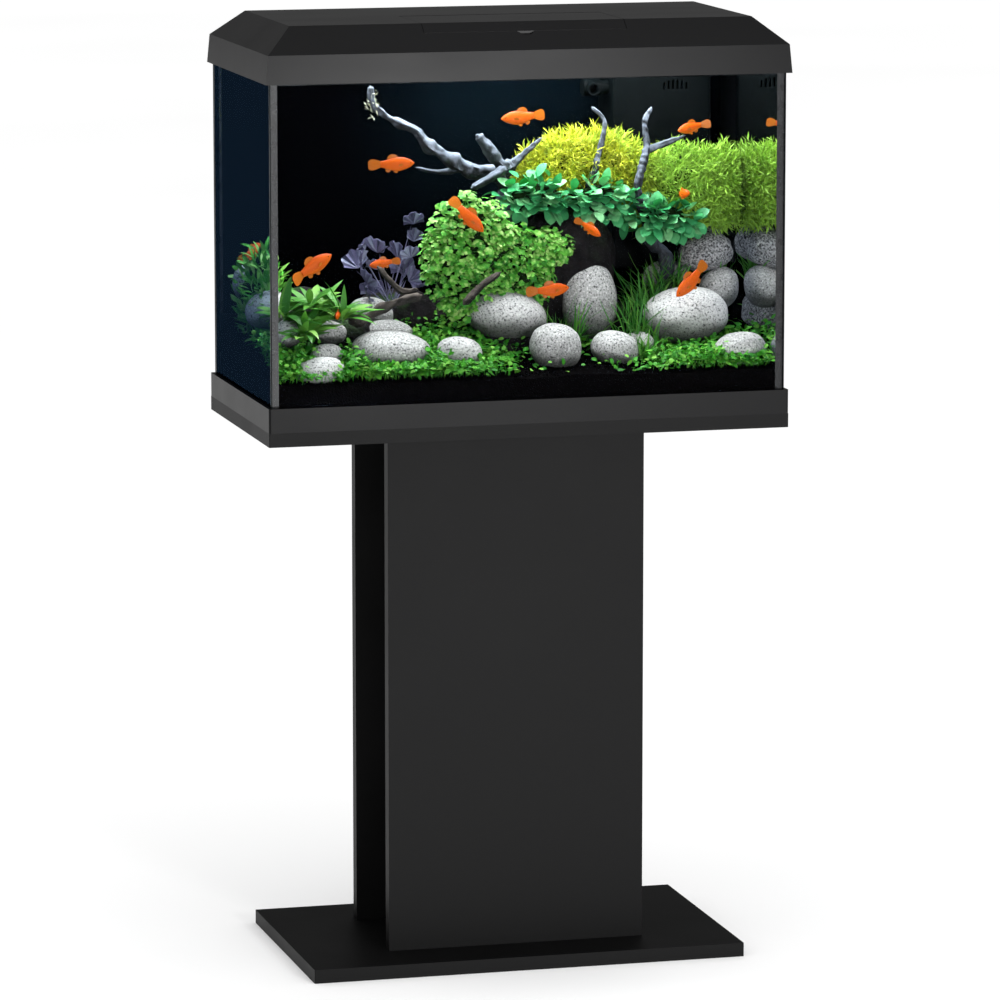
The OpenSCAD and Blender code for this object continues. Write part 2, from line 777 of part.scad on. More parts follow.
module moss_mounds() {
    color([0.75, 0.78, 0.2]) mounds([
        [0.38, 0.24, 0.63, 0.26, 0.19, 0.105], [0.79, 0.2, 0.565, 0.2, 0.2, 0.125]]);
}

module broadleaf_plants() {
    color([0.1, 0.3, 0.15]) mounds([
        [0.14, -0.06, 0.57, 0.15, 0.165, 0.05], [0.55, -0.1, 0.56, 0.155, 0.165, 0.045]]);
}

module bush_plant() {
    color([0.55, 0.65, 0.35]) mounds([
        [-0.14, -0.28, 0.42, 0.2, 0.2, 0.19], [0.15, -0.2, 0.44, 0.14, 0.14, 0.06]]);
}

module front_carpet() {
    color([0.3, 0.6, 0.15]) for (i = [0:5])
        translate([(i - 2.5) * 0.33 * in_x, -0.93 * in_y, sand_z(-0.93) - 3]) slab(0.3 * in_x, 12, 24);
}

module sword_plants() {
    color([0.35, 0.65, 0.2]) mounds([
        [-0.79, -0.5, 0.31, 0.15, 0.14, 0.11], [-0.9, 0.45, 0.3, 0.085, 0.4, 0.15]]);
}

module lotus_plants() {
    color([0.45, 0.3, 0.55]) mounds([[-0.48, -0.05, 0.42, 0.15, 0.18, 0.13]]);
}

module grass_tufts() {
    color([0.15, 0.45, 0.2]) for (x = [0.25, 0.56])
        translate([x * in_x, -0.3 * in_y, sand_z(-0.3) - 4]) cylinder(r = 14, h = 88);
}

// Fish pointing along +X with a forked tail, in shares of its length.
module fish(l) {
    scale([0.34 * l, 0.09 * l, 0.135 * l]) sphere(1, $fn = 32);
    translate([0, 0.02 * l, 0]) rotate([90, 0, 0]) linear_extrude(0.04 * l)
        polygon([[-0.28 * l, 0.04 * l], [-0.55 * l, 0.13 * l], [-0.5 * l, 0], [-0.62 * l, -0.15 * l],
                 [-0.28 * l, -0.05 * l]]);
}

// Each fish: its place, its length, the way it heads and how steeply it climbs.
swimmers = [
    [[-0.47, -0.41, 0.7], 52, 0, 0], [[-0.8, -0.48, 0.41], 50, 20, 25],
    [[-0.9, 0.72, 0.41], 44, 60, 20], [[-0.48, -0.21, 0.41], 34, 190, -10],
    [[-0.7, -0.52, 0.28], 30, 250, 0], [[-0.18, -0.48, 0.55], 50, -20, -35],
    [[0.09, -0.14, 0.815], 52, 175, 12], [[0.81, 0.14, 0.765], 36, 200, -15],
    [[0.72, -0.07, 0.59], 30, -40, 10], [[0.33, -0.21, 0.51], 30, -30, -35],
    [[0.14, -0.52, 0.33], 50, 10, 8], [[0.71, -0.55, 0.35], 46, 205, -30]];

module swordtail_fish() {
    color([0.95, 0.4, 0.1]) for (s = swimmers)
        translate(place(s[0])) rotate([0, -s[3], s[2]]) fish(s[1]);
}

// ---------------------------------------------------------------- drawing

base_plate();
front_panel();
rear_panel();
spine_panel();
top_board();
base_screws();
top_screws();
base_frame();
bottom_pane();
floor_seam();
front_pane();
rear_pane();
left_pane();
right_pane();
corner_seams();
background_film();
hood_shell();
feeding_flap();
flap_hinge_pins();
light_housing();
led_board();
led_chips();
light_lens();
light_end_caps();
light_brackets();
light_screws();
light_cable_gland();
filter_housing();
filter_cover();
coarse_sponge();
fine_sponge();
pump_body();
pump_cover();
pump_impeller();
impeller_shaft();
outlet_pipe();
outlet_nozzle();
heater_tube();
heater_cap();
suction_cups();
sand_bed();
dark_rocks();
left_cobbles();
middle_cobbles();
right_cobbles();
branch_wood();
tree_wood();
low_wood();
moss_mounds();
broadleaf_plants();
bush_plant();
front_carpet();
sword_plants();
lotus_plants();
grass_tufts();
swordtail_fish();
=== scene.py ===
"""Finishes, planting, fish, light and camera of the aquarium on stand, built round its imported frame."""

import logging
import math
from dataclasses import dataclass
from enum import Enum
from typing import Sequence

import bmesh
import bpy
import numpy as np
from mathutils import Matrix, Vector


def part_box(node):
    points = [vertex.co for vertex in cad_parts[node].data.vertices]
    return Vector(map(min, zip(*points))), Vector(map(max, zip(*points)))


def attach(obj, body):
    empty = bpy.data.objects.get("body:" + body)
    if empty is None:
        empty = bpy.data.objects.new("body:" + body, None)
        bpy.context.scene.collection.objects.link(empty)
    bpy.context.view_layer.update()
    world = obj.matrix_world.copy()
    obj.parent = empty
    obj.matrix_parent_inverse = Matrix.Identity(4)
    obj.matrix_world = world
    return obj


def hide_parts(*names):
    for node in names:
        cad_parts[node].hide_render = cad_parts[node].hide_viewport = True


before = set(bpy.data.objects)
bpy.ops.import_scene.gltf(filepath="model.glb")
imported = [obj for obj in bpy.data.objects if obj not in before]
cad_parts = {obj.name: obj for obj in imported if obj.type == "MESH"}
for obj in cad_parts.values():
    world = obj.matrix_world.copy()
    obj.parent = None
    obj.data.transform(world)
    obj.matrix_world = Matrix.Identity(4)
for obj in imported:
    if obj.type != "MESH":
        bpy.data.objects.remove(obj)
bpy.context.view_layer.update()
log = logging.getLogger("aquarium")

MM = 0.001
Colour = tuple[float, float, float]
Points = Sequence[tuple[float, float, float]]


# ---------------------------------------------------------------- shader maths


class Val:
    """A shader socket with arithmetic on it."""

    def __init__(self, graph: "Graph", socket: bpy.types.NodeSocket) -> None:
        """Keeps the socket and the graph that it is in."""
        self.graph = graph
        self.socket = socket

    def _math(self, operation: str, first: "Val | float", second: "Val | float") -> "Val":
        """The value of one Math node."""
        return self.graph.value("ShaderNodeMath", {"operation": operation}, {0: first, 1: second})

    def __add__(self, other: "Val | float") -> "Val":
        """Sum."""
        return self._math("ADD", self, other)

    def __radd__(self, other: float) -> "Val":
        """Sum with a number first."""
        return self._math("ADD", other, self)

    def __sub__(self, other: "Val | float") -> "Val":
        """Difference."""
        return self._math("SUBTRACT", self, other)

    def __rsub__(self, other: float) -> "Val":
        """Difference from a number."""
        return self._math("SUBTRACT", other, self)

    def __mul__(self, other: "Val | float") -> "Val":
        """Product."""
        return self._math("MULTIPLY", self, other)

    def __rmul__(self, other: float) -> "Val":
        """Product with a number first."""
        return self._math("MULTIPLY", other, self)

    def size(self) -> "Val":
        """The value without its sign."""
        return self._math("ABSOLUTE", self, 0.0)

    def above(self, limit: float) -> "Val":
        """1 where the value is greater than the limit, else 0."""
        return self._math("GREATER_THAN", self, limit)

    def rise(self, low: float, high: float) -> "Val":
        """A smooth step from 0 at low to 1 at high."""
        settings = {"interpolation_type": "SMOOTHSTEP"}
        return self.graph.value("ShaderNodeMapRange", settings,
                                {"Value": self, "From Min": low, "From Max": high})


class Graph:
    """The node tree of one material."""

    def __init__(self, name: str) -> None:
        """Makes the material with an empty tree."""
        self.material = bpy.data.materials.new(name)
        self.material.use_nodes = True
        self.tree = self.material.node_tree
        self.tree.nodes.clear()
        self.place = self.value("ShaderNodeTexCoord", output="Object")

    def node(self, kind: str, settings: dict | None = None, inputs: dict | None = None) -> bpy.types.Node:
        """Adds one node.

        Args:
            kind: The node's type.
            settings: The node's own settings, and a colour ramp's stops as "stops".
            inputs: Values or links of its sockets, by name or by number.

        Returns:
            The node.
        """
        made = self.tree.nodes.new(kind)
        for key, setting in (settings or {}).items():
            if key == "stops":
                self._set_stops(made.color_ramp, setting)
            else:
                setattr(made, key, setting)
        for key, source in (inputs or {}).items():
            if isinstance(source, Val):
                self.tree.links.new(source.socket, made.inputs[key])
            else:
                made.inputs[key].default_value = source
        return made

    @staticmethod
    def _set_stops(ramp: bpy.types.ColorRamp, stops: Sequence[tuple[float, Colour]]) -> None:
        """Gives a ramp its stops."""
        while len(ramp.elements) < len(stops):
            ramp.elements.new(1.0)
        for element, (position, colour) in zip(ramp.elements, stops):
            element.position = position
            element.color = (*colour, 1.0)

    def value(self, kind: str, settings: dict | None = None, inputs: dict | None = None,
              output: int | str = 0) -> Val:
        """Adds one node and gives one of its outputs."""
        return Val(self, self.node(kind, settings, inputs).outputs[output])

    def stretched(self, x: float, y: float, z: float) -> Val:
        """The place, with each axis scaled."""
        return self.value("ShaderNodeVectorMath", {"operation": "MULTIPLY"}, {0: self.place, 1: (x, y, z)})

    def along(self, axis: int) -> Val:
        """One coordinate of the place."""
        return self.value("ShaderNodeSeparateXYZ", None, {0: self.place}, axis)

    def facing(self, axis: int) -> Val:
        """One coordinate of the surface's normal."""
        normal = self.value("ShaderNodeNewGeometry", output="Normal")
        return self.value("ShaderNodeSeparateXYZ", None, {0: normal}, axis)

    def island(self) -> Val:
        """A random number for each loose piece of the mesh."""
        return self.value("ShaderNodeNewGeometry", output="Random Per Island")

    def noise(self, scale: float, detail: float = 2.0, roughness: float = 0.5,
              place: Val | None = None) -> Val:
        """Cloudy noise from 0 to 1."""
        inputs = {"Vector": place or self.place, "Scale": scale, "Detail": detail, "Roughness": roughness}
        return self.value("ShaderNodeTexNoise", None, inputs, 0)

    def cells(self, scale: float, place: Val | None = None) -> Val:
        """Distance to the nearest of many scattered points."""
        return self.value("ShaderNodeTexVoronoi", None, {"Vector": place or self.place, "Scale": scale}, 0)

    def ramp(self, factor: Val, *stops: tuple[float, Colour]) -> Val:
        """A colour that follows a value."""
        return self.value("ShaderNodeValToRGB", {"stops": stops}, {0: factor})

    def mix(self, factor: Val | float, first: "Val | Colour", second: "Val | Colour",
            blend: str = "MIX") -> Val:
        """One colour over another."""
        first = first if isinstance(first, Val) else (*first, 1.0)
        second = second if isinstance(second, Val) else (*second, 1.0)
        settings = {"data_type": "RGBA", "blend_type": blend}
        return self.value("ShaderNodeMix", settings, {0: factor, 6: first, 7: second}, 2)

    def bump(self, height: Val, strength: float, depth_mm: float) -> Val:
        """A normal that follows a height."""
        inputs = {"Height": height, "Strength": strength, "Distance": depth_mm * MM}
        return self.value("ShaderNodeBump", None, inputs)

    def skin(self, base: "Val | Colour", roughness: "Val | float" = 0.5, gloss: float = 0.5,
             normal: Val | None = None, **sockets: "Val | float | tuple") -> Val:
        """A Principled surface.

        Args:
            base: Base colour.
            roughness: Roughness.
            gloss: Specular level.
            normal: Bumped normal.
            sockets: Other sockets, with _ for a space in the name.

        Returns:
            The shader.
        """
        inputs = {key.replace("_", " "): source for key, source in sockets.items()}
        inputs["Base Color"] = base if isinstance(base, Val) else (*base, 1.0)
        inputs["Roughness"] = roughness
        inputs["Specular IOR Level"] = gloss
        if normal:
            inputs["Normal"] = normal
        return self.value("ShaderNodeBsdfPrincipled", None, inputs)

    def layers(self, factor: Val | float, under: Val, over: Val) -> Val:
        """One shader over another."""
        return self.value("ShaderNodeMixShader", None, {0: factor, 1: under, 2: over})

    def close(self, surface: Val) -> bpy.types.Material:
        """Links the surface to the output."""
        self.node("ShaderNodeOutputMaterial", None, {"Surface": surface})
        return self.material


# ---------------------------------------------------------------- finishes


@dataclass(frozen=True)
class Finish:
    """A named finish. Its material is made once."""

    name: str

    def paint(self, g: Graph) -> Val:
        """Draws the finish and gives its shader."""
        raise NotImplementedError

    def material(self) -> bpy.types.Material:
        """The finish's material."""
        name = self.name + "_finish"
        if name in bpy.data.materials:
            return bpy.data.materials[name]
        graph = Graph(name)
        return graph.close(self.paint(graph))


@dataclass(frozen=True)
class BoardFinish(Finish):
    """Satin black melamine with a fine pearl grain."""

    tone: float = 0.0055

    def paint(self, g: Graph) -> Val:
        """Fine pearl over faint clouds, smooth where hands have been."""
        pearl = g.noise(1400.0, 3.0, 0.65)
        cloud = g.noise(7.0, 3.0)
        shade = pearl * 0.45 + cloud * 0.55
        low, high = self.tone * 0.78, self.tone * 1.28
        base = g.ramp(shade, (0.3, (low, low, low * 1.02)), (0.7, (high, high, high * 1.03)))
        return g.skin(base, 0.44 + cloud * 0.16, 0.12, g.bump(pearl, 0.12, 0.15))


@dataclass(frozen=True)
class PlasticFinish(Finish):
    """Moulded plastic with a spark-eroded texture."""

    tone: Colour = (0.014, 0.014, 0.0148)
    rough: float = 0.34
    texture: float = 0.16
    gloss: float = 0.4

    def paint(self, g: Graph) -> Val:
        """A pebbled surface with slight flow clouds."""
        pebble = g.noise(1900.0, 2.0, 0.6)
        flow = g.noise(14.0, 3.0, 0.55, g.stretched(0.4, 1.0, 1.0))
        dark = tuple(c * 0.82 for c in self.tone)
        light = tuple(c * 1.22 for c in self.tone)
        base = g.ramp(flow * 0.7 + pebble * 0.3, (0.3, dark), (0.7, light))
        return g.skin(base, self.rough + flow * 0.1, self.gloss, g.bump(pebble, self.texture, 0.12))


@dataclass(frozen=True)
class PaneFinish(Finish):
    """Float glass with water behind it: clear inside face, shining outside face, polished grey edges."""

    axis: int = 1
    middle: float = 0.0
    outward: float = -1.0
    edge_axis: int = 0
    edge: float = 0.3
    shine: Colour = (0.3, 0.38, 0.5)
    tint: Colour = (0.95, 0.97, 0.97)

    def paint(self, g: Graph) -> Val:
        """Fresnel shine on the outside face only, over clear glass."""
        outside = ((g.along(self.axis) - self.middle) * self.outward).above(0.0)
        ahead = 1.0 - g.value("ShaderNodeNewGeometry", output="Backfacing")
        smear = g.noise(22.0, 3.0, 0.6)
        clear = g.value("ShaderNodeBsdfTransparent", None, {0: (*self.tint, 1.0)})
        normal = g.bump(smear, 0.02, 0.05)
        shine = g.value("ShaderNodeBsdfGlossy", None, {"Color": (*self.shine, 1.0), "Roughness": 0.02,
                                                       "Normal": normal})
        face = g.value("ShaderNodeFresnel", None, {"IOR": 1.33})
        pane = g.layers(face * outside * ahead, clear, shine)
        slant = g.value("ShaderNodeLayerWeight", None, {"Blend": 0.5}, "Facing").rise(0.45, 0.7)
        mirror = g.value("ShaderNodeBsdfGlossy", None, {"Color": (0.9, 0.92, 0.92, 1.0), "Roughness": 0.01})
        pane = g.layers(slant * (1.0 - outside) * ahead, pane, mirror)
        ground = g.noise(180.0, 2.0)
        tone = g.ramp(ground, (0.3, (0.008, 0.01, 0.011)), (0.7, (0.018, 0.021, 0.022)))
        rim = g.skin(tone, 0.5, 0.0)
        return g.layers(g.along(self.edge_axis).size().above(self.edge), pane, rim)


@dataclass(frozen=True)
class BottomFinish(Finish):
    """Bottom glass, seen only from below: dark under the sand."""

    def paint(self, g: Graph) -> Val:
        """Deep green-black glass with a soft shine."""
        cloud = g.noise(30.0, 2.0)
        base = g.ramp(cloud, (0.3, (0.008, 0.011, 0.01)), (0.7, (0.014, 0.018, 0.016)))
        return g.skin(base, 0.12 + cloud * 0.1, 0.4)


@dataclass(frozen=True)
class WaterFinish(Finish):
    """The water's top, with slow ripples."""

    def paint(self, g: Graph) -> Val:
        """Clear with a Fresnel shine."""
        ripple = g.noise(24.0, 2.0, 0.4)
        clear = g.value("ShaderNodeBsdfTransparent", None, {0: (0.97, 0.99, 0.99, 1.0)})
        shine = g.value("ShaderNodeBsdfGlossy", None, {"Color": (0.8, 0.85, 0.9, 1.0), "Roughness": 0.03,
                                                       "Normal": g.bump(ripple, 0.3, 1.5)})
        top = g.facing(2).above(0.5)
        return g.layers(g.value("ShaderNodeFresnel", None, {"IOR": 1.33}) * top, clear, shine)


@dataclass(frozen=True)
class SiliconeFinish(Finish):
    """Black silicone with a wiped, slightly wavy skin."""

    def paint(self, g: Graph) -> Val:
        """Soft waves along the bead."""
        wave = g.noise(70.0, 2.0, 0.4)
        base = g.ramp(wave, (0.3, (0.007, 0.007, 0.008)), (0.7, (0.013, 0.013, 0.014)))
        return g.skin(base, 0.22 + wave * 0.12, 0.3, g.bump(wave, 0.25, 0.5))


@dataclass(frozen=True)
class FilmFinish(Finish):
    """Black film behind the rear pane, with a painted navy glow of light high in the middle."""

    deep: Colour = (0.0003, 0.0003, 0.0004)
    navy: Colour = (0.0012, 0.0026, 0.0038)

    def paint(self, g: Graph) -> Val:
        """Black with a painted navy glow of light near the top middle, and a faint cloud."""
        x = g.along(0)
        cloud = g.noise(8.0, 3.0)
        # Painted light: the film's middle, towards its top, is lifted from black to navy.
        middle = x.rise(-0.17, 0.02) * (1.0 - x.rise(0.12, 0.24))
        height = g.along(2).rise(0.78, 0.95)
        base = g.mix(middle * height * (0.65 + cloud * 0.6), self.deep, self.navy)
        return g.skin(base, 0.5 + cloud * 0.1, 0.0)


@dataclass(frozen=True)
class MetalFinish(Finish):
    """Plated steel or anodised alloy with fine brushing."""

    tone: Colour = (0.55, 0.55, 0.56)
    rough: float = 0.32

    def paint(self, g: Graph) -> Val:
        """Brushing along the length with a few clouds."""
        brushing = g.noise(900.0, 2.0, 0.5, g.stretched(0.05, 1.0, 1.0))
        cloud = g.noise(60.0, 2.0)
        dark = tuple(c * 0.8 for c in self.tone)
        base = g.ramp(brushing * 0.6 + cloud * 0.4, (0.3, dark), (0.7, self.tone))
        return g.skin(base, self.rough + brushing * 0.12, 0.5, g.bump(brushing, 0.1, 0.05), Metallic=1.0)


@dataclass(frozen=True)
class GlowFinish(Finish):
    """Light chips: yellow phosphor that glows."""

    def paint(self, g: Graph) -> Val:
        """Phosphor speckle with a white glow."""
        speckle = g.noise(2500.0, 2.0)
        base = g.ramp(speckle, (0.3, (0.8, 0.62, 0.12)), (0.7, (0.95, 0.85, 0.35)))
        return g.skin(base, 0.5, 0.4, Emission_Color=base, Emission_Strength=4.0)


@dataclass(frozen=True)
class FrostFinish(Finish):
    """Frosted clear plastic."""

    tone: Colour = (0.85, 0.88, 0.9)
    clearness: float = 0.45

    def paint(self, g: Graph) -> Val:
        """Part clear, part milky, with fine prisms."""
        prism = g.noise(800.0, 1.0, 0.5, g.stretched(0.1, 1.0, 1.0))
        milk = g.ramp(prism, (0.3, tuple(c * 0.85 for c in self.tone)), (0.7, self.tone))
        clear = g.value("ShaderNodeBsdfTransparent", None, {0: (0.95, 0.96, 0.97, 1.0)})
        frosted = g.skin(milk, 0.2 + prism * 0.15, 0.5, g.bump(prism, 0.2, 0.1))
        return g.layers(self.clearness, frosted, clear)


@dataclass(frozen=True)
class FoamFinish(Finish):
    """Open-cell foam."""

    tone: Colour = (0.03, 0.08, 0.2)
    pores: float = 700.0

    def paint(self, g: Graph) -> Val:
        """Round pores, with painted shade inside them."""
        pore = g.cells(self.pores)
        dirt = g.noise(40.0, 3.0, 0.6)
        # Painted shade: the middle of each pore is darkened to a quarter of the tone.
        dark = tuple(c * 0.25 for c in self.tone)
        base = g.mix(dirt * 0.35, g.ramp(pore, (0.15, dark), (0.6, self.tone)), (0.05, 0.045, 0.03))
        return g.skin(base, 0.9, 0.1, g.bump(pore, 0.8, 0.8))


@dataclass(frozen=True)
class SandFinish(Finish):
    """Coarse black-brown sand."""

    def paint(self, g: Graph) -> Val:
        """Single grains, with a few paler ones."""
        grain = g.cells(520.0)
        colour = g.noise(640.0, 2.0, 0.7)
        patch = g.noise(11.0, 3.0)
        base = g.ramp(colour, (0.35, (0.0008, 0.0007, 0.0007)), (0.6, (0.0035, 0.003, 0.003)),
                      (0.74, (0.016, 0.014, 0.013)))
        base = g.mix(patch * 0.5, base, (0.0014, 0.0015, 0.0022))
        return g.skin(base, 0.8, 0.0, g.bump(grain, 0.9, 1.2))


@dataclass(frozen=True)
class GraniteFinish(Finish):
    """Pale grey granite cobble with dense black and white speckle."""

    pale: float = 0.49

    def paint(self, g: Graph) -> Val:
        """Grey matrix, black mica, white quartz, and painted shade on the underside."""
        tone = g.island()
        cloud = g.noise(34.0, 3.0, 0.6)
        fleck = g.noise(430.0, 4.0, 0.72)
        mica = g.cells(620.0)
        low, high = self.pale * 0.62, self.pale * 1.15
        base = g.ramp(cloud * 0.6 + tone * 0.4, (0.25, (low, low, low * 0.98)),
                      (0.75, (high, high, high * 0.99)))
        base = g.mix(fleck.rise(0.56, 0.64), base, (0.78, 0.78, 0.76))
        base = g.mix(1.0 - fleck.rise(0.38, 0.46), base, (0.02, 0.02, 0.022))
        base = g.mix((1.0 - mica.rise(0.1, 0.24)) * cloud.rise(0.3, 0.6), base, (0.03, 0.03, 0.035))
        # Painted shade: surfaces that face down are darkened to near black.
        under = 1.0 - g.facing(2).rise(-0.55, 0.25)
        base = g.mix(under * 0.85, base, (0.02, 0.022, 0.018))
        height = fleck * 0.5 + cloud
        return g.skin(base, 0.55 + cloud * 0.2, 0.35, g.bump(height, 0.55, 1.6))


@dataclass(frozen=True)
class LavaFinish(Finish):
    """Rough near-black rock with a little green growth."""

    def paint(self, g: Graph) -> Val:
        """Pits and ridges."""
        ridge = g.noise(60.0, 5.0, 0.65)
        pit = g.cells(240.0)
        base = g.ramp(ridge, (0.35, (0.0015, 0.0013, 0.0015)), (0.65, (0.011, 0.009, 0.01)))
        growth = g.noise(23.0, 3.0).rise(0.5, 0.62) * g.facing(2).rise(0.1, 0.8)
        base = g.mix(growth * 0.8, base, (0.02, 0.05, 0.012))
        fleck = g.noise(430.0, 4.0, 0.7)
        granite = g.ramp(fleck, (0.4, (0.02, 0.02, 0.022)), (0.5, (0.2, 0.2, 0.205)),
                         (0.62, (0.42, 0.42, 0.42)))
        base = g.mix(g.along(0).rise(0.2, 0.215), base, granite)
        return g.skin(base, 0.85, 0.2, g.bump(ridge + pit * 0.4, 0.9, 3.0))


@dataclass(frozen=True)
class WoodFinish(Finish):
    """Weathered driftwood: silver-grey and darker in the cracks, with a painted highlight on top and painted shade
    underneath.
    """

    silver: Colour = (0.075, 0.09, 0.115)
    brown: Colour = (0.006, 0.006, 0.007)

    def paint(self, g: Graph) -> Val:
        """Cracks along the limb, knots, a painted highlight on the upper side and painted shade underneath."""
        fibre = g.noise(190.0, 4.0, 0.7, g.stretched(0.55, 1.0, 0.55))
        cloud = g.noise(38.0, 3.0, 0.6)
        base = g.ramp(fibre * 0.6 + cloud * 0.4, (0.42, tuple(c * 0.5 for c in self.brown)),
                      (0.54, tuple(c * 0.5 for c in self.silver)), (0.68, self.silver))
        # Painted highlight: surfaces that face up are lightened towards pale silver.
        worn = g.facing(2).rise(-0.1, 0.9)
        base = g.mix(worn * (0.35 + fibre * 0.5), base, tuple(min(1.0, c * 2.3) for c in self.silver))
        # Painted shade: surfaces that face down are darkened to brown.
        under = 1.0 - g.facing(2).rise(-0.7, 0.1)
        base = g.mix(under * 0.7, base, self.brown)
        return g.skin(base, 0.6 + fibre * 0.2, 0.3, g.bump(fibre + cloud * 0.6, 0.8, 1.8))


@dataclass(frozen=True)
class LeafFinish(Finish):
    """Living leaves: each one has its own shade between old and young."""

    old: Colour = (0.02, 0.1, 0.02)
    young: Colour = (0.2, 0.42, 0.05)
    tip: Colour = (0.4, 0.55, 0.12)
    glow: Colour = (0.2, 0.4, 0.04)
    through: float = 0.25
    rough: float = 0.38
    gloss: float = 0.45
    veins: float = 500.0

    def paint(self, g: Graph) -> Val:
        """Shade by leaf, mottle by place, light through the blade."""
        leaf = g.island()
        mottle = g.noise(self.veins, 3.0, 0.6)
        patch = g.noise(26.0, 2.0)
        base = g.ramp(leaf * 0.6 + patch * 0.4, (0.2, self.old), (0.55, self.young), (0.85, self.tip))
        base = g.mix(mottle.rise(0.35, 0.75) * 0.35, base, self.old)
        blade = g.skin(base, self.rough + mottle * 0.15, self.gloss, g.bump(mottle, 0.3, 0.4))
        light = g.value("ShaderNodeBsdfTranslucent", None, {0: (*self.glow, 1.0)})
        return g.layers(self.through, blade, light)


@dataclass(frozen=True)
class MossFinish(Finish):
    """Needle moss: sunny yellow on the left, lime green on the right, deep green inside."""

    yellow: Colour = (0.48, 0.52, 0.03)
    lime: Colour = (0.33, 0.6, 0.07)
    deep: Colour = (0.04, 0.16, 0.012)
    turn: float = 0.19

    def paint(self, g: Graph) -> Val:
        """Shade by needle and by place along the tank."""
        leaf = g.island()
        patch = g.noise(30.0, 3.0)
        green = (g.along(0) + patch * 0.08).rise(self.turn, self.turn + 0.06)
        base = g.mix(green, self.yellow, self.lime)
        base = g.mix((1.0 - leaf.rise(0.0, 0.35)) * 0.7, base, self.deep)
        base = g.mix(patch.rise(0.55, 0.75) * 0.4, base, self.lime)
        light = g.value("ShaderNodeBsdfTranslucent", None, {0: (0.5, 0.55, 0.04, 1.0)})
        return g.layers(0.25, g.skin(base, 0.5, 0.25), light)


@dataclass(frozen=True)
class ShadeCoreFinish(Finish):
    """Painted shade: a dark solid that stands for the shaded inside of a plant."""

    tone: Colour = (0.012, 0.03, 0.008)

    def paint(self, g: Graph) -> Val:
        """Broken dark green and brown."""
        broken = g.noise(120.0, 4.0, 0.7)
        base = g.ramp(broken, (0.35, tuple(c * 0.25 for c in self.tone)), (0.65, self.tone))
        return g.skin(base, 0.9, 0.05, g.bump(broken, 1.0, 3.0))


@dataclass(frozen=True)
class ScaleFinish(Finish):
    """Orange fish skin with fine scales, deeper along the back."""

    back: Colour = (0.28, 0.028, 0.002)
    flank: Colour = (0.62, 0.1, 0.003)
    belly: Colour = (0.7, 0.13, 0.006)

    def paint(self, g: Graph) -> Val:
        """Scales, a paler underside and a wet shine."""
        scale = g.cells(900.0)
        cloud = g.noise(110.0, 2.0)
        up = g.facing(2)
        base = g.mix(up.rise(-0.8, 0.1), self.belly, self.flank)
        base = g.mix(up.rise(0.3, 0.95) * 0.7, base, self.back)
        base = g.mix(scale.rise(0.35, 0.7) * 0.3 + cloud * 0.15, base, self.back)
        return g.skin(base, 0.36 + scale * 0.15, 0.16, g.bump(scale, 0.35, 0.3))


@dataclass(frozen=True)
class FinFinish(Finish):
    """Thin fin with rays, part clear."""

    tone: Colour = (0.6, 0.16, 0.008)

    def paint(self, g: Graph) -> Val:
        """Rays over a clear skin."""
        ray = g.noise(700.0, 2.0, 0.5, g.stretched(0.3, 1.0, 1.0))
        base = g.ramp(ray, (0.3, tuple(c * 0.6 for c in self.tone)), (0.7, self.tone))
        clear = g.value("ShaderNodeBsdfTransparent", None, {0: (1.0, 0.85, 0.6, 1.0)})
        return g.layers(0.1 + ray.rise(0.35, 0.7) * 0.3, g.skin(base, 0.35, 0.3), clear)


@dataclass(frozen=True)
class EyeFinish(Finish):
    """Wet black eye."""

    def paint(self, g: Graph) -> Val:
        """Black with a brown depth."""
        depth = g.noise(1500.0, 1.0)
        base = g.ramp(depth, (0.3, (0.002, 0.002, 0.002)), (0.7, (0.012, 0.008, 0.005)))
        return g.skin(base, 0.08, 0.7)


@dataclass(frozen=True)
class FloorFinish(Finish):
    """Plain pale studio floor."""

    def paint(self, g: Graph) -> Val:
        """White with the faintest cloud."""
        cloud = g.noise(0.8, 1.0)
        base = g.ramp(cloud, (0.3, (0.93, 0.93, 0.93)), (0.7, (0.96, 0.96, 0.96)))
        return g.skin(base, 0.9, 0.0)


BOARD = BoardFinish("satin_board")
FRAME = PlasticFinish("satin_frame", (0.004, 0.004, 0.0044), 0.34, 0.07, 0.12)
HOOD = PlasticFinish("satin_hood", (0.004, 0.004, 0.0044), 0.25, 0.07, 0.15)
FILTER = PlasticFinish("filter_black", (0.0012, 0.0019, 0.0021), 0.4, 0.06, 0.03)
RUBBER = PlasticFinish("cup_rubber", (0.05, 0.05, 0.055), 0.6, 0.1, 0.3)
IMPELLER = PlasticFinish("impeller_ivory", (0.5, 0.48, 0.42), 0.3, 0.08, 0.5)
CERAMIC = PlasticFinish("shaft_ceramic", (0.78, 0.77, 0.74), 0.18, 0.05, 0.5)
CIRCUIT = PlasticFinish("board_white", (0.72, 0.73, 0.71), 0.3, 0.05, 0.5)
STEEL = MetalFinish("zinc_steel")
ALLOY = MetalFinish("anodised_alloy", (0.6, 0.61, 0.63), 0.38)
SILICONE = SiliconeFinish("black_silicone")
GRANITE = GraniteFinish("speckled_granite")
LAVA = LavaFinish("dark_rock")
SAND = SandFinish("black_sand")
WOOD = WoodFinish("silver_wood")
LOW_WOOD = WoodFinish("brown_wood", (0.06, 0.05, 0.043), (0.008, 0.006, 0.005))
MOSS = MossFinish("needle_moss")
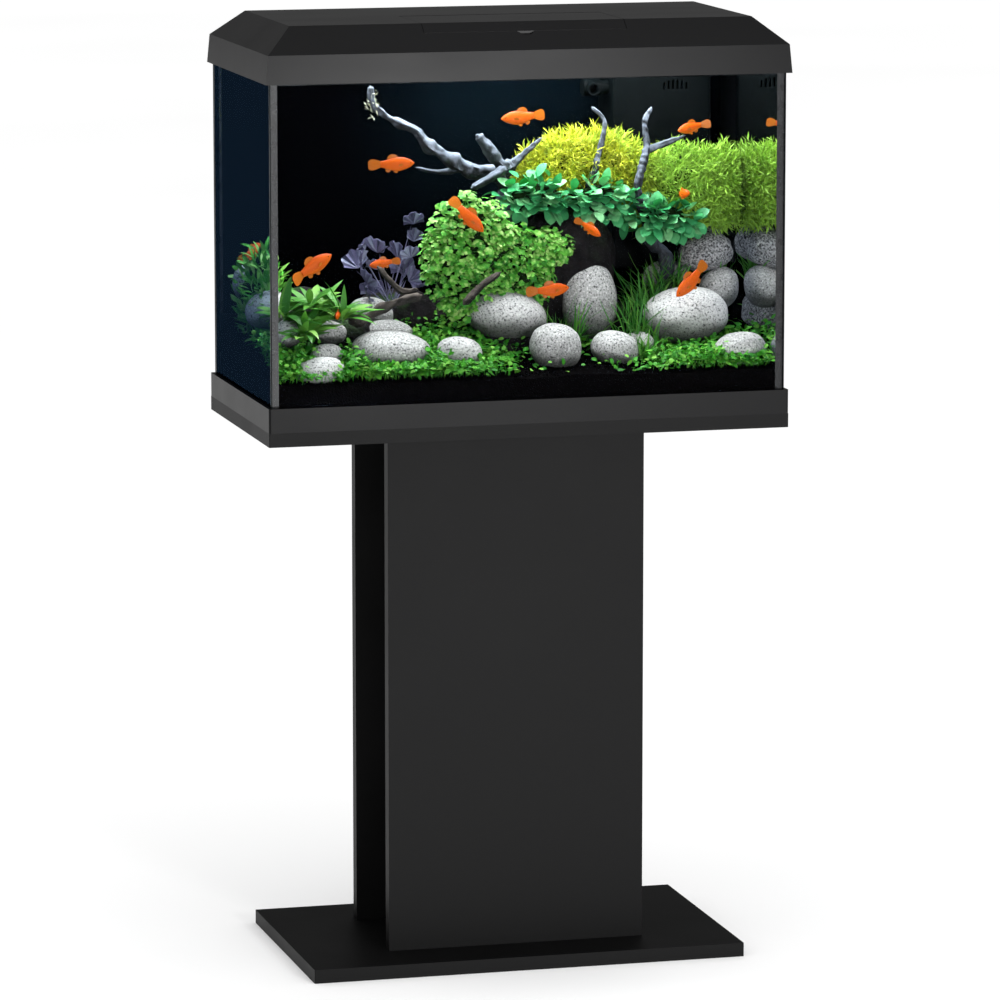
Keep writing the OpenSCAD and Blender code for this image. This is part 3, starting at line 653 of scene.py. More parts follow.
# Painted shade: the dark finish of the solids inside the plant heaps.
SHADE_CORE = ShadeCoreFinish("painted_shade_core")
BROAD = LeafFinish("broad_leaf", (0.03, 0.25, 0.09), (0.1, 0.55, 0.2), (0.36, 0.74, 0.36),
                   (0.1, 0.48, 0.1), 0.28, 0.28, 0.45, 260.0)
BUSH = LeafFinish("bush_leaf", (0.03, 0.25, 0.025), (0.15, 0.52, 0.05), (0.55, 0.84, 0.25),
                  (0.22, 0.5, 0.03), 0.22, 0.42, 0.35)
CARPET = LeafFinish("carpet_leaf", (0.02, 0.18, 0.015), (0.08, 0.42, 0.03), (0.28, 0.64, 0.09),
                    (0.18, 0.5, 0.03), 0.28, 0.4, 0.35)
LANCE = LeafFinish("lance_leaf", (0.03, 0.16, 0.02), (0.1, 0.36, 0.04), (0.28, 0.55, 0.1),
                   (0.2, 0.45, 0.05), 0.25, 0.36, 0.45)
GRASS = LeafFinish("grass_leaf", (0.02, 0.14, 0.02), (0.09, 0.36, 0.04), (0.24, 0.54, 0.09),
                   (0.12, 0.4, 0.04), 0.25, 0.4, 0.35)
LOTUS = LeafFinish("lotus_leaf", (0.05, 0.05, 0.1), (0.17, 0.16, 0.3), (0.42, 0.46, 0.62),
                   (0.1, 0.09, 0.2), 0.15, 0.4, 0.4, 420.0)
# Painted highlight: the growth at the branch's high end is coloured pale whitish green.
PALE_TIP = LeafFinish("pale_tip", (0.2, 0.2, 0.12), (0.4, 0.42, 0.3), (0.65, 0.66, 0.55),
                      (0.4, 0.4, 0.25), 0.3, 0.5, 0.3)
SKIN = ScaleFinish("fish_skin")
FIN = FinFinish("fish_fin")
EYE = EyeFinish("fish_eye")
WATER = WaterFinish("water_top")
FLOOR = FloorFinish("studio_floor")


# ---------------------------------------------------------------- meshes


def unit(v: np.ndarray) -> np.ndarray:
    """Vectors scaled to length 1."""
    return v / np.maximum(np.linalg.norm(v, axis=-1, keepdims=True), 1e-9)


def through(points: Points, count: int) -> np.ndarray:
    """Points of a smooth curve through the given ones.

    Args:
        points: Places or values that the curve passes.
        count: How many points to give.

    Returns:
        Array of points along a Catmull-Rom curve.
    """
    p = np.asarray(points, float)
    p = np.vstack([2 * p[0] - p[1], p, 2 * p[-1] - p[-2]])
    t = np.linspace(0, len(p) - 3 - 1e-6, count)
    i = t.astype(int)
    f = (t - i)[:, None]
    a, b, c, d = p[i], p[i + 1], p[i + 2], p[i + 3]
    return 0.5 * (2 * b + (c - a) * f + (2 * a - 5 * b + 4 * c - d) * f ** 2
                  + (3 * b - a - 3 * c + d) * f ** 3)


def ball(levels: int) -> tuple[np.ndarray, np.ndarray]:
    """Vertices and triangles of a unit ball."""
    bm = bmesh.new()
    bmesh.ops.create_icosphere(bm, subdivisions=levels, radius=1.0)
    verts = np.array([v.co[:] for v in bm.verts])
    faces = np.array([[v.index for v in f.verts] for f in bm.faces])
    bm.free()
    return verts, faces


def ripple(at: np.ndarray, rng: np.random.Generator, waves: int, pitch: float) -> np.ndarray:
    """A smooth random height at each point, about -1 to 1.

    Args:
        at: Points.
        rng: Source of the waves' directions and phases.
        waves: How many waves are added up.
        pitch: Turns of phase for one unit of length.

    Returns:
        One height for each point.
    """
    total = np.zeros(len(at))
    for _ in range(waves):
        way = unit(rng.normal(size=3)) * pitch * rng.uniform(0.5, 1.6)
        total += np.cos(at @ way + rng.uniform(0, 2 * np.pi))
    return total / math.sqrt(waves)


@dataclass(frozen=True)
class Blade:
    """Shape of one kind of leaf, as a closed blade with a fold along its midrib."""

    rows: int = 3
    widest: float = 0.45
    fullness: float = 0.8
    fold: float = 0.25
    thick: float = 0.08

    def template(self) -> tuple[np.ndarray, np.ndarray, np.ndarray]:
        """Corners as (across, along, up) in half widths and lengths, then quads and triangles."""
        t = (np.arange(self.rows) + 1) / (self.rows + 1)
        k = math.log(0.5) / math.log(self.widest)
        w = np.sin(np.pi * t ** k) ** self.fullness
        rings = []
        for wi, ti in zip(w, t):
            rings += [(-wi, ti, self.fold * wi), (0, ti, self.thick), (wi, ti, self.fold * wi),
                      (0, ti, -self.thick)]
        verts = np.array([(0, 0, 0), (0, 1, 0)] + rings)
        quads, tris = [], []
        for j in range(4):
            n = (j + 1) % 4
            tris.append((0, 2 + n, 2 + j))
            last = 2 + 4 * (self.rows - 1)
            tris.append((1, last + j, last + n))
            for r in range(self.rows - 1):
                a = 2 + 4 * r
                quads.append((a + j, a + n, a + 4 + n, a + 4 + j))
        return verts, np.array(quads).reshape(-1, 4), np.array(tris)


class Bag:
    """Gathers the vertices and faces of one piece."""

    def __init__(self) -> None:
        """Starts empty."""
        self.verts: list[np.ndarray] = []
        self.faces: list[tuple[np.ndarray, int]] = []
        self.finishes: list[Finish] = []
        self.count = 0

    def add(self, verts: np.ndarray, *groups: np.ndarray, finish: Finish) -> None:
        """Adds a closed form.

        Args:
            verts: Its vertices.
            groups: Arrays of faces with the same number of corners each.
            finish: Its finish.
        """
        if finish not in self.finishes:
            self.finishes.append(finish)
        place = self.finishes.index(finish)
        for group in groups:
            if len(group):
                self.faces.append((np.asarray(group) + self.count, place))
        self.verts.append(np.asarray(verts, float))
        self.count += len(verts)

    def grow(self, blade: Blade, base: np.ndarray, aim: np.ndarray, up: np.ndarray, length: np.ndarray,
             half_width: np.ndarray, bend: np.ndarray, finish: Finish) -> None:
        """Adds many leaves of one kind.

        Args:
            blade: Their shape.
            base: Where each one starts.
            aim: The way each one points.
            up: The way each one's upper side faces.
            length: Lengths.
            half_width: Half widths.
            bend: How far each one bends down over its length, in radians.
            finish: Their finish.
        """
        verts, quads, tris = blade.template()
        d = unit(aim)
        s = unit(np.cross(d, up))
        n = np.cross(s, d)
        b = np.where(np.abs(bend) < 1e-3, 1e-3, bend)[:, None, None]
        t = verts[None, :, 1:2]
        w = half_width[:, None, None]
        size = length[:, None, None]
        sine, cosine = np.sin(b * t), np.cos(b * t)
        at = base[:, None, :] + s[:, None, :] * verts[None, :, 0:1] * w
        at = at + d[:, None, :] * size * sine / b - n[:, None, :] * size * (1 - cosine) / b
        at = at + (n[:, None, :] * cosine + d[:, None, :] * sine) * verts[None, :, 2:3] * w
        step = (np.arange(len(base)) * len(verts))[:, None, None]
        self.add(at.reshape(-1, 3), (quads[None] + step).reshape(-1, 4), (tris[None] + step).reshape(-1, 3),
                 finish=finish)

    def tube(self, path: np.ndarray, radius: np.ndarray, finish: Finish, sides: int = 12,
             rng: np.random.Generator | None = None, rough: float = 0.0) -> None:
        """Adds a closed tube along a path.

        Args:
            path: Its middle line.
            radius: Its radius at each point.
            finish: Its finish.
            sides: Corners of each ring.
            rng: Source of its knots.
            rough: How deep the knots are, as a share of the radius.
        """
        ahead = unit(np.gradient(path, axis=0))
        side = unit(np.cross(ahead, (0.13, 0.92, 0.3)))
        top = np.cross(side, ahead)
        angle = np.linspace(0, 2 * np.pi, sides, endpoint=False)
        ring = (side[:, None, :] * np.cos(angle)[None, :, None]
                + top[:, None, :] * np.sin(angle)[None, :, None])
        at = path[:, None, :] + ring * radius[:, None, None]
        if rng is not None:
            flat = at.reshape(-1, 3)
            knots = ripple(flat / MM, rng, 7, 0.2) * 0.6 + ripple(flat / MM, rng, 5, 0.7) * 0.4
            twist = np.arange(len(path))[:, None] * 0.05
            wave = np.cos(4 * angle[None] + twist) * 0.4 + np.cos(7 * angle[None] - 2 * twist) * 0.2
            knots += wave.ravel()
            at = at + ring * (knots.reshape(len(path), sides) * rough * radius[:, None])[:, :, None]
        verts = np.vstack([at.reshape(-1, 3), path[:1], path[-1:]])
        rows, j = np.meshgrid(np.arange(len(path) - 1) * sides, np.arange(sides), indexing="ij")
        n = (j + 1) % sides
        quads = np.stack([rows + j, rows + n, rows + sides + n, rows + sides + j], -1).reshape(-1, 4)
        k = np.arange(sides)
        m = (k + 1) % sides
        first, last, low = len(verts) - 2, len(verts) - 1, (len(path) - 1) * sides
        caps = np.vstack([np.stack([np.full(sides, first), m, k], -1),
                          np.stack([np.full(sides, last), low + k, low + m], -1)])
        self.add(verts, quads, caps, finish=finish)

    def plate(self, outline: np.ndarray, thick: np.ndarray, finish: Finish) -> None:
        """Adds a thin closed lens with the given outline, thickest in its middle.

        Args:
            outline: Corners in order.
            thick: Vector from its middle to the middle of one side.
            finish: Its finish.
        """
        n = len(outline)
        middle = outline.mean(0)
        inner = middle + (outline - middle) * 0.55
        verts = np.vstack([outline, inner + thick * 0.7, inner - thick * 0.7,
                           middle + thick, middle - thick])
        k = np.arange(n)
        m = (k + 1) % n
        quads = np.vstack([np.stack([k, m, n + m, n + k], -1), np.stack([m, k, 2 * n + k, 2 * n + m], -1)])
        tris = np.vstack([np.stack([n + k, n + m, np.full(n, 3 * n)], -1),
                          np.stack([2 * n + m, 2 * n + k, np.full(n, 3 * n + 1)], -1)])
        self.add(verts, quads, tris, finish=finish)

    def piece(self, name: str, body: str, slot: str, replaces: Sequence[str] = (),
              crease: float = 50.0) -> bpy.types.Object:
        """Makes the object and gives it its place in the frame.

        Args:
            name: Name of the piece.
            body: The body that it rides on.
            slot: The record's material slot. Not used.
            replaces: CAD nodes that it stands for.
            crease: Angle above which an edge stays sharp, in degrees.

        Returns:
            The object.
        """
        mesh = bpy.data.meshes.new(name)
        verts = np.concatenate(self.verts)
        mesh.vertices.add(len(verts))
        mesh.vertices.foreach_set("co", verts.astype(np.float32).ravel())
        loops = np.concatenate([f.ravel() for f, _ in self.faces]).astype(np.int32)
        sizes = np.concatenate([np.full(len(f), f.shape[1]) for f, _ in self.faces])
        mesh.loops.add(len(loops))
        mesh.loops.foreach_set("vertex_index", loops)
        mesh.polygons.add(len(sizes))
        mesh.polygons.foreach_set("loop_start", (np.cumsum(sizes) - sizes).astype(np.int32))
        places = np.concatenate([np.full(len(f), place) for f, place in self.faces])
        mesh.polygons.foreach_set("material_index", places.astype(np.int32))
        mesh.polygons.foreach_set("use_smooth", np.ones(len(sizes), bool))
        mesh.update(calc_edges=True)
        mesh.validate()
        mesh.set_sharp_from_angle(angle=math.radians(crease))
        for finish in self.finishes:
            mesh.materials.append(finish.material())
        made = bpy.data.objects.new(name, mesh)
        bpy.context.scene.collection.objects.link(made)
        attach(made, body)
        if replaces:
            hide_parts(*replaces)
        log.info("%s: %d faces on %s", name, len(sizes), body)
        return made


# ---------------------------------------------------------------- the tank's inside


class Inside:
    """The space inside the glass. Places are shares of it, as in the part's design."""

    def __init__(self) -> None:
        """Takes the space from the sand's and the panes' boxes."""
        low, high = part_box("sand_bed")
        self.half_x = high.x
        self.half_y = high.y
        self.floor = low.z
        self.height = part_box("front_pane")[1].z - MM - low.z
        self.front_sand = 43 * MM
        self.rear_sand = high.z - low.z

    def at(self, x: float, y: float, z: float) -> np.ndarray:
        """A place from its shares."""
        return np.array([x * self.half_x, y * self.half_y, self.floor + z * self.height])

    def sand(self, y: float | np.ndarray) -> float | np.ndarray:
        """Height of the sand at a share of the depth."""
        return self.floor + self.front_sand + (self.rear_sand - self.front_sand) * (y + 1) / 2

    def keep_in(self, verts: np.ndarray, gap: float = 1.0) -> np.ndarray:
        """Holds points clear of the panes by a gap in millimetres."""
        limit = np.array([self.half_x - gap * MM, self.half_y - gap * MM])
        verts[:, :2] = np.clip(verts[:, :2], -limit, limit)
        return verts


@dataclass(frozen=True)
class Stone:
    """A stone: shares across and in depth, then millimetres over the sand, half width and half height."""

    across: float
    depth: float
    over: float
    half_width: float
    half_height: float

    def centre(self, inside: Inside) -> np.ndarray:
        """Where its middle is, counted from the walls to its own side."""
        bead = 4 * MM
        keep_x = inside.half_x - self.half_width * MM - bead
        keep_y = inside.half_y - 0.9 * self.half_width * MM - bead
        height = inside.sand(self.depth) + self.over * MM
        return np.array([self.across * keep_x, self.depth * keep_y, height])


@dataclass(frozen=True)
class StoneGroup:
    """A group of stones that stands for one CAD node."""

    node: str
    slot: str
    finish: Finish
    stones: tuple[Stone, ...]
    rugged: float = 0.05
    seed: int = 1

    def build(self, inside: Inside) -> bpy.types.Object:
        """Each stone is a worn, uneven ball."""
        rng = np.random.default_rng(self.seed)
        bag = Bag()
        verts, faces = ball(5)
        for stone in self.stones:
            form = verts * (1 + self.rugged * ripple(verts, rng, 6, 2.2)[:, None])
            form = form * (1 + 0.28 * self.rugged * ripple(verts, rng, 9, 8.0)[:, None])
            form = np.sign(form) * np.abs(form) ** 0.92
            half = np.array([stone.half_width, 0.82 * stone.half_width, stone.half_height]) * MM
            turn = rng.uniform(-0.12, 0.12)
            form = form * half
            form[:, 2] += form[:, 0] * turn
            bag.add(inside.keep_in(form + stone.centre(inside)), faces, finish=self.finish)
        return bag.piece(self.node + "_worn", "tank", self.slot, [self.node])


STONES = (
    StoneGroup("dark_rocks", "lava_rock", LAVA, (
        Stone(0.35, 0.15, 72, 60, 74), Stone(-0.08, 0.3, 15, 55, 40), Stone(-0.45, 0.35, 12, 55, 36),
        Stone(0.99, 0.38, 89, 26, 24), Stone(0.98, 0.08, 92, 30, 21), Stone(0.82, -0.05, 2, 60, 34),
        Stone(-0.88, 0.5, 18, 50, 34), Stone(0.95, 0.35, 18, 50, 32), Stone(-0.84, -0.15, 6, 64, 34),
        Stone(0.02, -0.3, 4, 44, 24)), 0.12, 5),
    StoneGroup("left_cobbles", "pale_stone", GRANITE, (
        Stone(-0.9, -0.98, 8, 28, 18), Stone(-0.6, -0.8, 22, 46, 24), Stone(-0.78, -0.41, 32, 21, 14),
        Stone(-0.81, -0.68, 16, 18, 14), Stone(-0.57, -0.08, 38, 26, 19), Stone(-0.95, -0.48, 36, 17, 16),
        Stone(-0.53, -0.38, 30, 27, 12), Stone(-1, 0.2, 36, 26, 22), Stone(-1, 0.85, 44, 28, 22)), 0.05, 2),
    StoneGroup("middle_cobbles", "pale_stone", GRANITE, (
        Stone(0, -0.4, 43, 45, 29), Stone(0.41, -0.18, 50, 34, 47), Stone(0.17, -0.83, 20, 30, 28),
        Stone(0.44, -0.77, 15, 27, 21), Stone(-0.26, -0.8, 18, 26, 20),
        Stone(0.56, -0.5, 8, 20, 16)), 0.05, 3),
    StoneGroup("right_cobbles", "pale_stone", GRANITE, (
        Stone(0.885, -0.475, 37, 52, 34), Stone(1, -0.92, 13, 30, 23), Stone(1, 0, 50, 23, 25),
        Stone(0.82, 0.34, 52, 27, 21)), 0.05, 4),
)


@dataclass
class SandBed:
    """The sand: a solid with an uneven top and loose grains on it."""

    inside: Inside
    columns: int = 150
    rows: int = 76
    grains: int = 5200
    gap: float = 0.3

    def _top(self, x: np.ndarray, y: np.ndarray, rng: np.random.Generator) -> np.ndarray:
        """Height of the sand's top."""
        at = np.stack([x.ravel(), y.ravel(), np.zeros(x.size)], -1) / MM
        soft = (ripple(at, rng, 6, 0.035) * 1.6 + ripple(at, rng, 8, 0.15) * 0.7
                + ripple(at, rng, 8, 0.6) * 0.3)
        return self.inside.sand(y / self.inside.half_y) + soft.reshape(x.shape) * MM - 1.5 * MM

    def build(self) -> bpy.types.Object:
        """The solid and its grains."""
        rng = np.random.default_rng(11)
        bag = Bag()
        half_x, half_y = self.inside.half_x - self.gap * MM, self.inside.half_y - self.gap * MM
        x, y = np.meshgrid(np.linspace(-half_x, half_x, self.columns),
                           np.linspace(-half_y, half_y, self.rows))
        top = np.stack([x, y, self._top(x, y, np.random.default_rng(12))], -1)
        floor = np.stack([x, y, np.full_like(x, self.inside.floor + 4.5 * MM)], -1)
        verts = np.vstack([top.reshape(-1, 3), floor.reshape(-1, 3)])
        grid = np.arange(self.rows * self.columns).reshape(self.rows, self.columns)
        a, b, c, d = grid[:-1, :-1], grid[:-1, 1:], grid[1:, 1:], grid[1:, :-1]
        upper = np.stack([a, b, c, d], -1).reshape(-1, 4)
        lower = upper[:, ::-1] + grid.size
        rim = np.concatenate([grid[0, :-1], grid[:-1, -1], grid[-1, :0:-1], grid[:0:-1, 0]])
        after = np.roll(rim, -1)
        wall = np.stack([rim, rim + grid.size, after + grid.size, after], -1)
        bag.add(verts, upper, lower, wall, finish=SAND)
        self._scatter(bag, rng)
        return bag.piece("sand_with_grains", "tank", "black_sand", ["sand_bed"])

    def _scatter(self, bag: Bag, rng: np.random.Generator) -> None:
        """Loose grains, most of them near the front glass."""
        verts, faces = ball(1)
        x = rng.uniform(-1, 1, self.grains) * (self.inside.half_x - 3 * MM)
        y = (rng.beta(1.0, 2.2, self.grains) * 2 - 1) * (self.inside.half_y - 3 * MM)
        z = self.inside.sand(y / self.inside.half_y) - 1.2 * MM
        size = rng.uniform(0.5, 1.5, (self.grains, 1, 1)) * MM
        form = verts[None] * size * rng.uniform(0.6, 1.2, (self.grains, 1, 3))
        form = form + np.stack([x, y, z + rng.uniform(0, 1.5, self.grains) * MM], -1)[:, None]
        step = (np.arange(self.grains) * len(verts))[:, None, None]
        bag.add(form.reshape(-1, 3), (faces[None] + step).reshape(-1, 3), finish=SAND)


# ---------------------------------------------------------------- driftwood


@dataclass(frozen=True)
class Limb:
    """A limb through places given as shares of the tank's inside, with its end radii in millimetres."""

    points: Points
    thick: float
    thin: float
    rugged: float = 0.26

    def build(self, bag: Bag, inside: Inside, finish: Finish, rng: np.random.Generator) -> None:
        """Adds a knotted tube that tapers."""
        places = np.array([inside.at(*p) for p in self.points])
        length = np.linalg.norm(np.diff(places, axis=0), axis=1).sum()
        count = max(24, int(length / (1.6 * MM)))
        path = through(places, count)
        t = np.linspace(0, 1, count)
        radius = (self.thick + (self.thin - self.thick) * t ** 0.85) * 1.25 * MM
        radius *= 1 + 0.12 * np.cos(t * length / MM * 0.16 + rng.uniform(0, 6))
        radius *= np.clip(np.minimum(t, 1 - t) * count / 2.2, 0.35, 1.0)
        bag.tube(path, radius, finish, 18, rng, self.rugged)


@dataclass(frozen=True)
class Driftwood:
    """Pieces of wood that stand for one CAD node."""

    node: str
    finish: Finish
    limbs: tuple[Limb, ...]
    seed: int

    def build(self, inside: Inside) -> bpy.types.Object:
        """All the node's limbs."""
        rng = np.random.default_rng(self.seed)
        bag = Bag()
        for limb in self.limbs:
            limb.build(bag, inside, self.finish, rng)
        if self.node == "branch_wood":
            self._frayed_tip(bag, inside, rng)
        return bag.piece(self.node + "_weathered", "tank", "drift_wood", [self.node], 60.0)

    @staticmethod
    def _frayed_tip(bag: Bag, inside: Inside, rng: np.random.Generator) -> None:
        """Growth at the high end of the branch, coloured pale as a painted highlight."""
        count = 80
        base = inside.at(-0.482, 0.14, 0.85) + rng.normal(size=(count, 3)) * np.array([3.0, 2.5, 7.0]) * MM
        aim = rng.normal(size=(count, 3)) + np.array([0, 0, 0.4])
        bag.grow(Blade(1, 0.4), base, aim, unit(rng.normal(size=(count, 3))), rng.uniform(4, 9, count) * MM,
                 rng.uniform(0.5, 1.0, count) * MM, rng.uniform(0, 0.8, count), PALE_TIP)


WOODS = (
    Driftwood("branch_wood", WOOD, (
        Limb([(0.02, 0.2, 0.18), (0.05, 0.15, 0.5), (0.035, 0.14, 0.63), (-0.09, 0.14, 0.655),
              (-0.17, 0.14, 0.69),
              (-0.26, 0.14, 0.73), (-0.31, 0.14, 0.775), (-0.4, 0.14, 0.805), (-0.475, 0.14, 0.85),
              (-0.49, 0.14, 0.905)], 9.5, 2.4),
        Limb([(0.03, 0.14, 0.635), (0.12, 0.12, 0.695), (0.2, 0.12, 0.745)], 6.5, 1.6),
        Limb([(0.05, 0.06, 0.655), (-0.02, 0.02, 0.71), (-0.08, 0, 0.763)], 6.5, 4.6),
        Limb([(0.07, 0.14, 0.67), (0.0, -0.02, 0.65), (-0.11, -0.06, 0.61)], 6.5, 2.6),
        Limb([(-0.08, 0.18, 0.66), (-0.2, 0.2, 0.65), (-0.3, 0.2, 0.665)], 3.2, 1.2)), 21),
    Driftwood("tree_wood", WOOD, (
        Limb([(0.68, 0, 0.16), (0.69, 0, 0.38), (0.64, 0, 0.43), (0.61, 0, 0.46), (0.6, -0.06, 0.5),
              (0.565, -0.1, 0.56), (0.56, -0.1, 0.62), (0.59, -0.06, 0.68), (0.606, -0.02, 0.72),
              (0.605, 0.03, 0.785), (0.64, 0.08, 0.827)], 6.8, 2.0),
        Limb([(0.6, -0.02, 0.705), (0.68, 0.0, 0.722), (0.775, 0.04, 0.743)], 4.2, 1.6),
        Limb([(0.33, 0.05, 0.5), (0.39, -0.02, 0.64), (0.41, 0.0, 0.69), (0.445, 0.06, 0.785),
              (0.4, 0.12, 0.83)], 4.2, 1.6)), 22),
    Driftwood("low_wood", LOW_WOOD, (
        Limb([(-0.65, -0.48, 0.27), (-0.6, -0.48, 0.258), (-0.52, -0.48, 0.292), (-0.44, -0.48, 0.312),
              (-0.36, -0.48, 0.325)], 5.5, 3.6),
        Limb([(-0.53, -0.41, 0.41), (-0.44, -0.41, 0.34), (-0.37, -0.44, 0.34)], 2.2, 3.0),
        Limb([(-0.06, -0.58, 0.39), (-0.14, -0.58, 0.35), (-0.21, -0.58, 0.3)], 2.2, 3.8)), 23),
)


# ---------------------------------------------------------------- plants


@dataclass(frozen=True)
class Mound:
    """An oval heap, as its middle and half sizes in shares of the inside."""

    x: float
    y: float
    z: float
    half_x: float
    half_y: float
    half_z: float

    def middle(self, inside: Inside) -> np.ndarray:
        """Its middle."""
        return inside.at(self.x, self.y, self.z)

    def half(self, inside: Inside) -> np.ndarray:
        """Its half sizes."""
        return np.array([self.half_x * inside.half_x, self.half_y * inside.half_y,
                         self.half_z * inside.height])

    def scatter(self, inside: Inside, rng: np.random.Generator, count: int, low: float = -0.5,
                shell: tuple[float, float] = (0.8, 1.0)) -> tuple[np.ndarray, np.ndarray]:
        """Places over the heap's skin, more of them on the side of the front glass.

        Args:
            inside: The tank's inside.
            rng: Source of the places.
            count: How many.
            low: The lowest share of the half height that gets one.
            shell: Nearest and farthest share of the radius.

        Returns:
            The places, and the way outward at each one.
        """
        v = unit(rng.normal(size=(count * 4, 3)) * np.array([1.0, 1.0, 0.9]))
        v[:, 1] = np.where(rng.uniform(size=len(v)) < 0.55, -np.abs(v[:, 1]), v[:, 1])
        v = v[v[:, 2] > low][:count]
        half = self.half(inside)
        at = self.middle(inside) + v * half * rng.uniform(*shell, (len(v), 1))
        return at, unit(v / half)

    def core(self, bag: Bag, inside: Inside, rng: np.random.Generator, share: float = 0.8) -> None:
        """Adds a dark solid inside the heap as painted shade."""
        verts, faces = ball(4)
        form = verts * (1 + 0.09 * ripple(verts, rng, 8, 5.0)[:, None])
        bag.add(inside.keep_in(self.middle(inside) + form * self.half(inside) * share), faces, finish=SHADE_CORE)


class Plant:
    """A kind of plant that stands for one CAD node."""

    node = ""
    slot = ""
    seed = 0

    def __init__(self, inside: Inside) -> None:
        """Keeps the tank's inside."""
        self.inside = inside
        self.rng = np.random.default_rng(self.seed)
        self.bag = Bag()

    def fill(self) -> None:
        """Adds the plant's leaves and stems."""
        raise NotImplementedError

    def build(self) -> bpy.types.Object:
        """The plant's piece."""
        self.fill()
        for verts in self.bag.verts:
            self.inside.keep_in(verts)
        return self.bag.piece(self.node + "_grown", "tank", self.slot, [self.node])

    def between(self, low: float, high: float, count: int) -> np.ndarray:
        """Random lengths in millimetres, given in metres."""
        return self.rng.uniform(low, high, count) * MM

    def stems(self, base: np.ndarray, tip: np.ndarray, radius: float, finish: Finish) -> None:
        """Adds thin stems from base to tip."""
        aim = tip - base
        count = len(base)
        self.bag.grow(Blade(2, 0.4, 0.3, 0.0, 1.0), base, aim, unit(self.rng.normal(size=(count, 3))),
                      np.linalg.norm(aim, axis=1), np.full(count, radius * MM),
                      self.rng.uniform(-0.3, 0.3, count), finish)


class Moss(Plant):
    """Needle moss over the rear of the rock."""

    node, slot, seed = "moss_mounds", "moss", 31
    mounds = (Mound(0.38, 0.24, 0.63, 0.26, 0.19, 0.105), Mound(0.78, 0.2, 0.565, 0.22, 0.2, 0.125),
              Mound(0.93, 0.2, 0.565, 0.12, 0.19, 0.12))
    tufts = (820, 700, 420)
    needles = 11

    def fill(self) -> None:
        """Tufts, each of needles set round a short line out from its base."""
        for mound, count, share in zip(self.mounds, self.tufts, (0.86, 0.86, 0.4)):
            mound.core(self.bag, self.inside, self.rng, share)
            at, out = mound.scatter(self.inside, self.rng, count, -0.75, (0.84, 1.0))
            aim = unit(out * 0.9 + np.array([0, -0.1, 0.45]) + self.rng.normal(size=at.shape) * 0.45)
            self._tufts(at, aim)

    def _tufts(self, base: np.ndarray, aim: np.ndarray) -> None:
        """Adds the needles of every tuft."""
        count = len(base)
        length = self.between(9, 17, count)
        side = unit(np.cross(aim, self.rng.normal(size=(count, 3))))
        top = np.cross(side, aim)
        for i in range(self.needles):
            t = 0.1 + 0.9 * i / (self.needles - 1)
            angle = i * 2.4 + self.rng.uniform(0, 1.2, count)
            out = side * np.cos(angle)[:, None] + top * np.sin(angle)[:, None]
            start = base + aim * (length * t)[:, None]
            way = out * (1.1 - 0.6 * t) + aim * (0.5 + 0.6 * t)
            self.bag.grow(Blade(1, 0.35, 0.8, 0.1, 0.3), start, way, aim, self.between(7, 16, count),
                          self.between(0.55, 1.15, count), self.rng.uniform(-0.2, 0.9, count), MOSS)


class Broadleaf(Plant):
    """Glossy dark oval leaves in front of the moss."""

    node, slot, seed = "broadleaf_plants", "dark_leaf", 32
    mounds = (Mound(0.15, -0.06, 0.578, 0.19, 0.15, 0.075), Mound(0.4, -0.06, 0.565, 0.17, 0.14, 0.075),
              Mound(0.66, -0.1, 0.51, 0.17, 0.15, 0.06))

    def fill(self) -> None:
        """Leaves round each heap, all turned to the light."""
        for mound in self.mounds:
            mound.core(self.bag, self.inside, self.rng, 0.55)
            at, out = mound.scatter(self.inside, self.rng, 120, -0.8, (0.3, 0.9))
            count = len(at)
            aim = unit(out * 0.8 + np.array([0, -0.35, 0.1]) + self.rng.normal(size=at.shape) * 0.35)
            up = unit(np.array([0.0, -0.35, 1.0]) + self.rng.normal(size=at.shape) * 0.3)
            self.bag.grow(Blade(7, 0.5, 0.7, 0.14, 0.04), at, aim, up, self.between(13, 24, count),
                          self.between(4.5, 8, count), self.rng.uniform(0.1, 0.9, count), BROAD)


class Bush(Plant):
    """Pale bush of small lobed leaves in the middle."""

    node, slot, seed = "bush_plant", "pale_leaf", 33
    mounds = (Mound(-0.14, -0.28, 0.42, 0.2, 0.2, 0.19), Mound(0.15, -0.2, 0.44, 0.14, 0.14, 0.06),
              Mound(0.03, -0.24, 0.38, 0.18, 0.15, 0.13))
    counts = (1200, 380, 620)

    def fill(self) -> None:
        """Leaves of three or four lobes on thin stems."""
        for mound, count in zip(self.mounds, self.counts):
            mound.core(self.bag, self.inside, self.rng, 0.72)
            at, out = mound.scatter(self.inside, self.rng, count, -0.95, (0.7, 1.04))
            self._leaves(at, out)
            stalk = self.rng.choice(len(at), len(at) // 3, replace=False)
            self.stems(at[stalk] - out[stalk] * 14 * MM - np.array([0, 0, 8 * MM]), at[stalk], 0.45, BUSH)

    def _leaves(self, at: np.ndarray, out: np.ndarray) -> None:
        """Adds the lobes of every leaf round its middle."""
        count = len(at)
        up = unit(out * 0.6 + np.array([0, -0.25, 0.9]) + self.rng.normal(size=at.shape) * 0.4)
        side = unit(np.cross(up, self.rng.normal(size=(count, 3))))
        top = np.cross(up, side)
        size = self.rng.uniform(0.6, 1.45, count)
        for i in range(5):
            angle = i * 2 * np.pi / 5
            aim = side * math.cos(angle) + top * math.sin(angle) + up * 0.12
            self.bag.grow(Blade(3, 0.62, 0.7, 0.12, 0.07), at, aim, up, size * 4.3 * MM, size * 1.75 * MM,
                          self.rng.uniform(0.0, 0.7, count), BUSH)


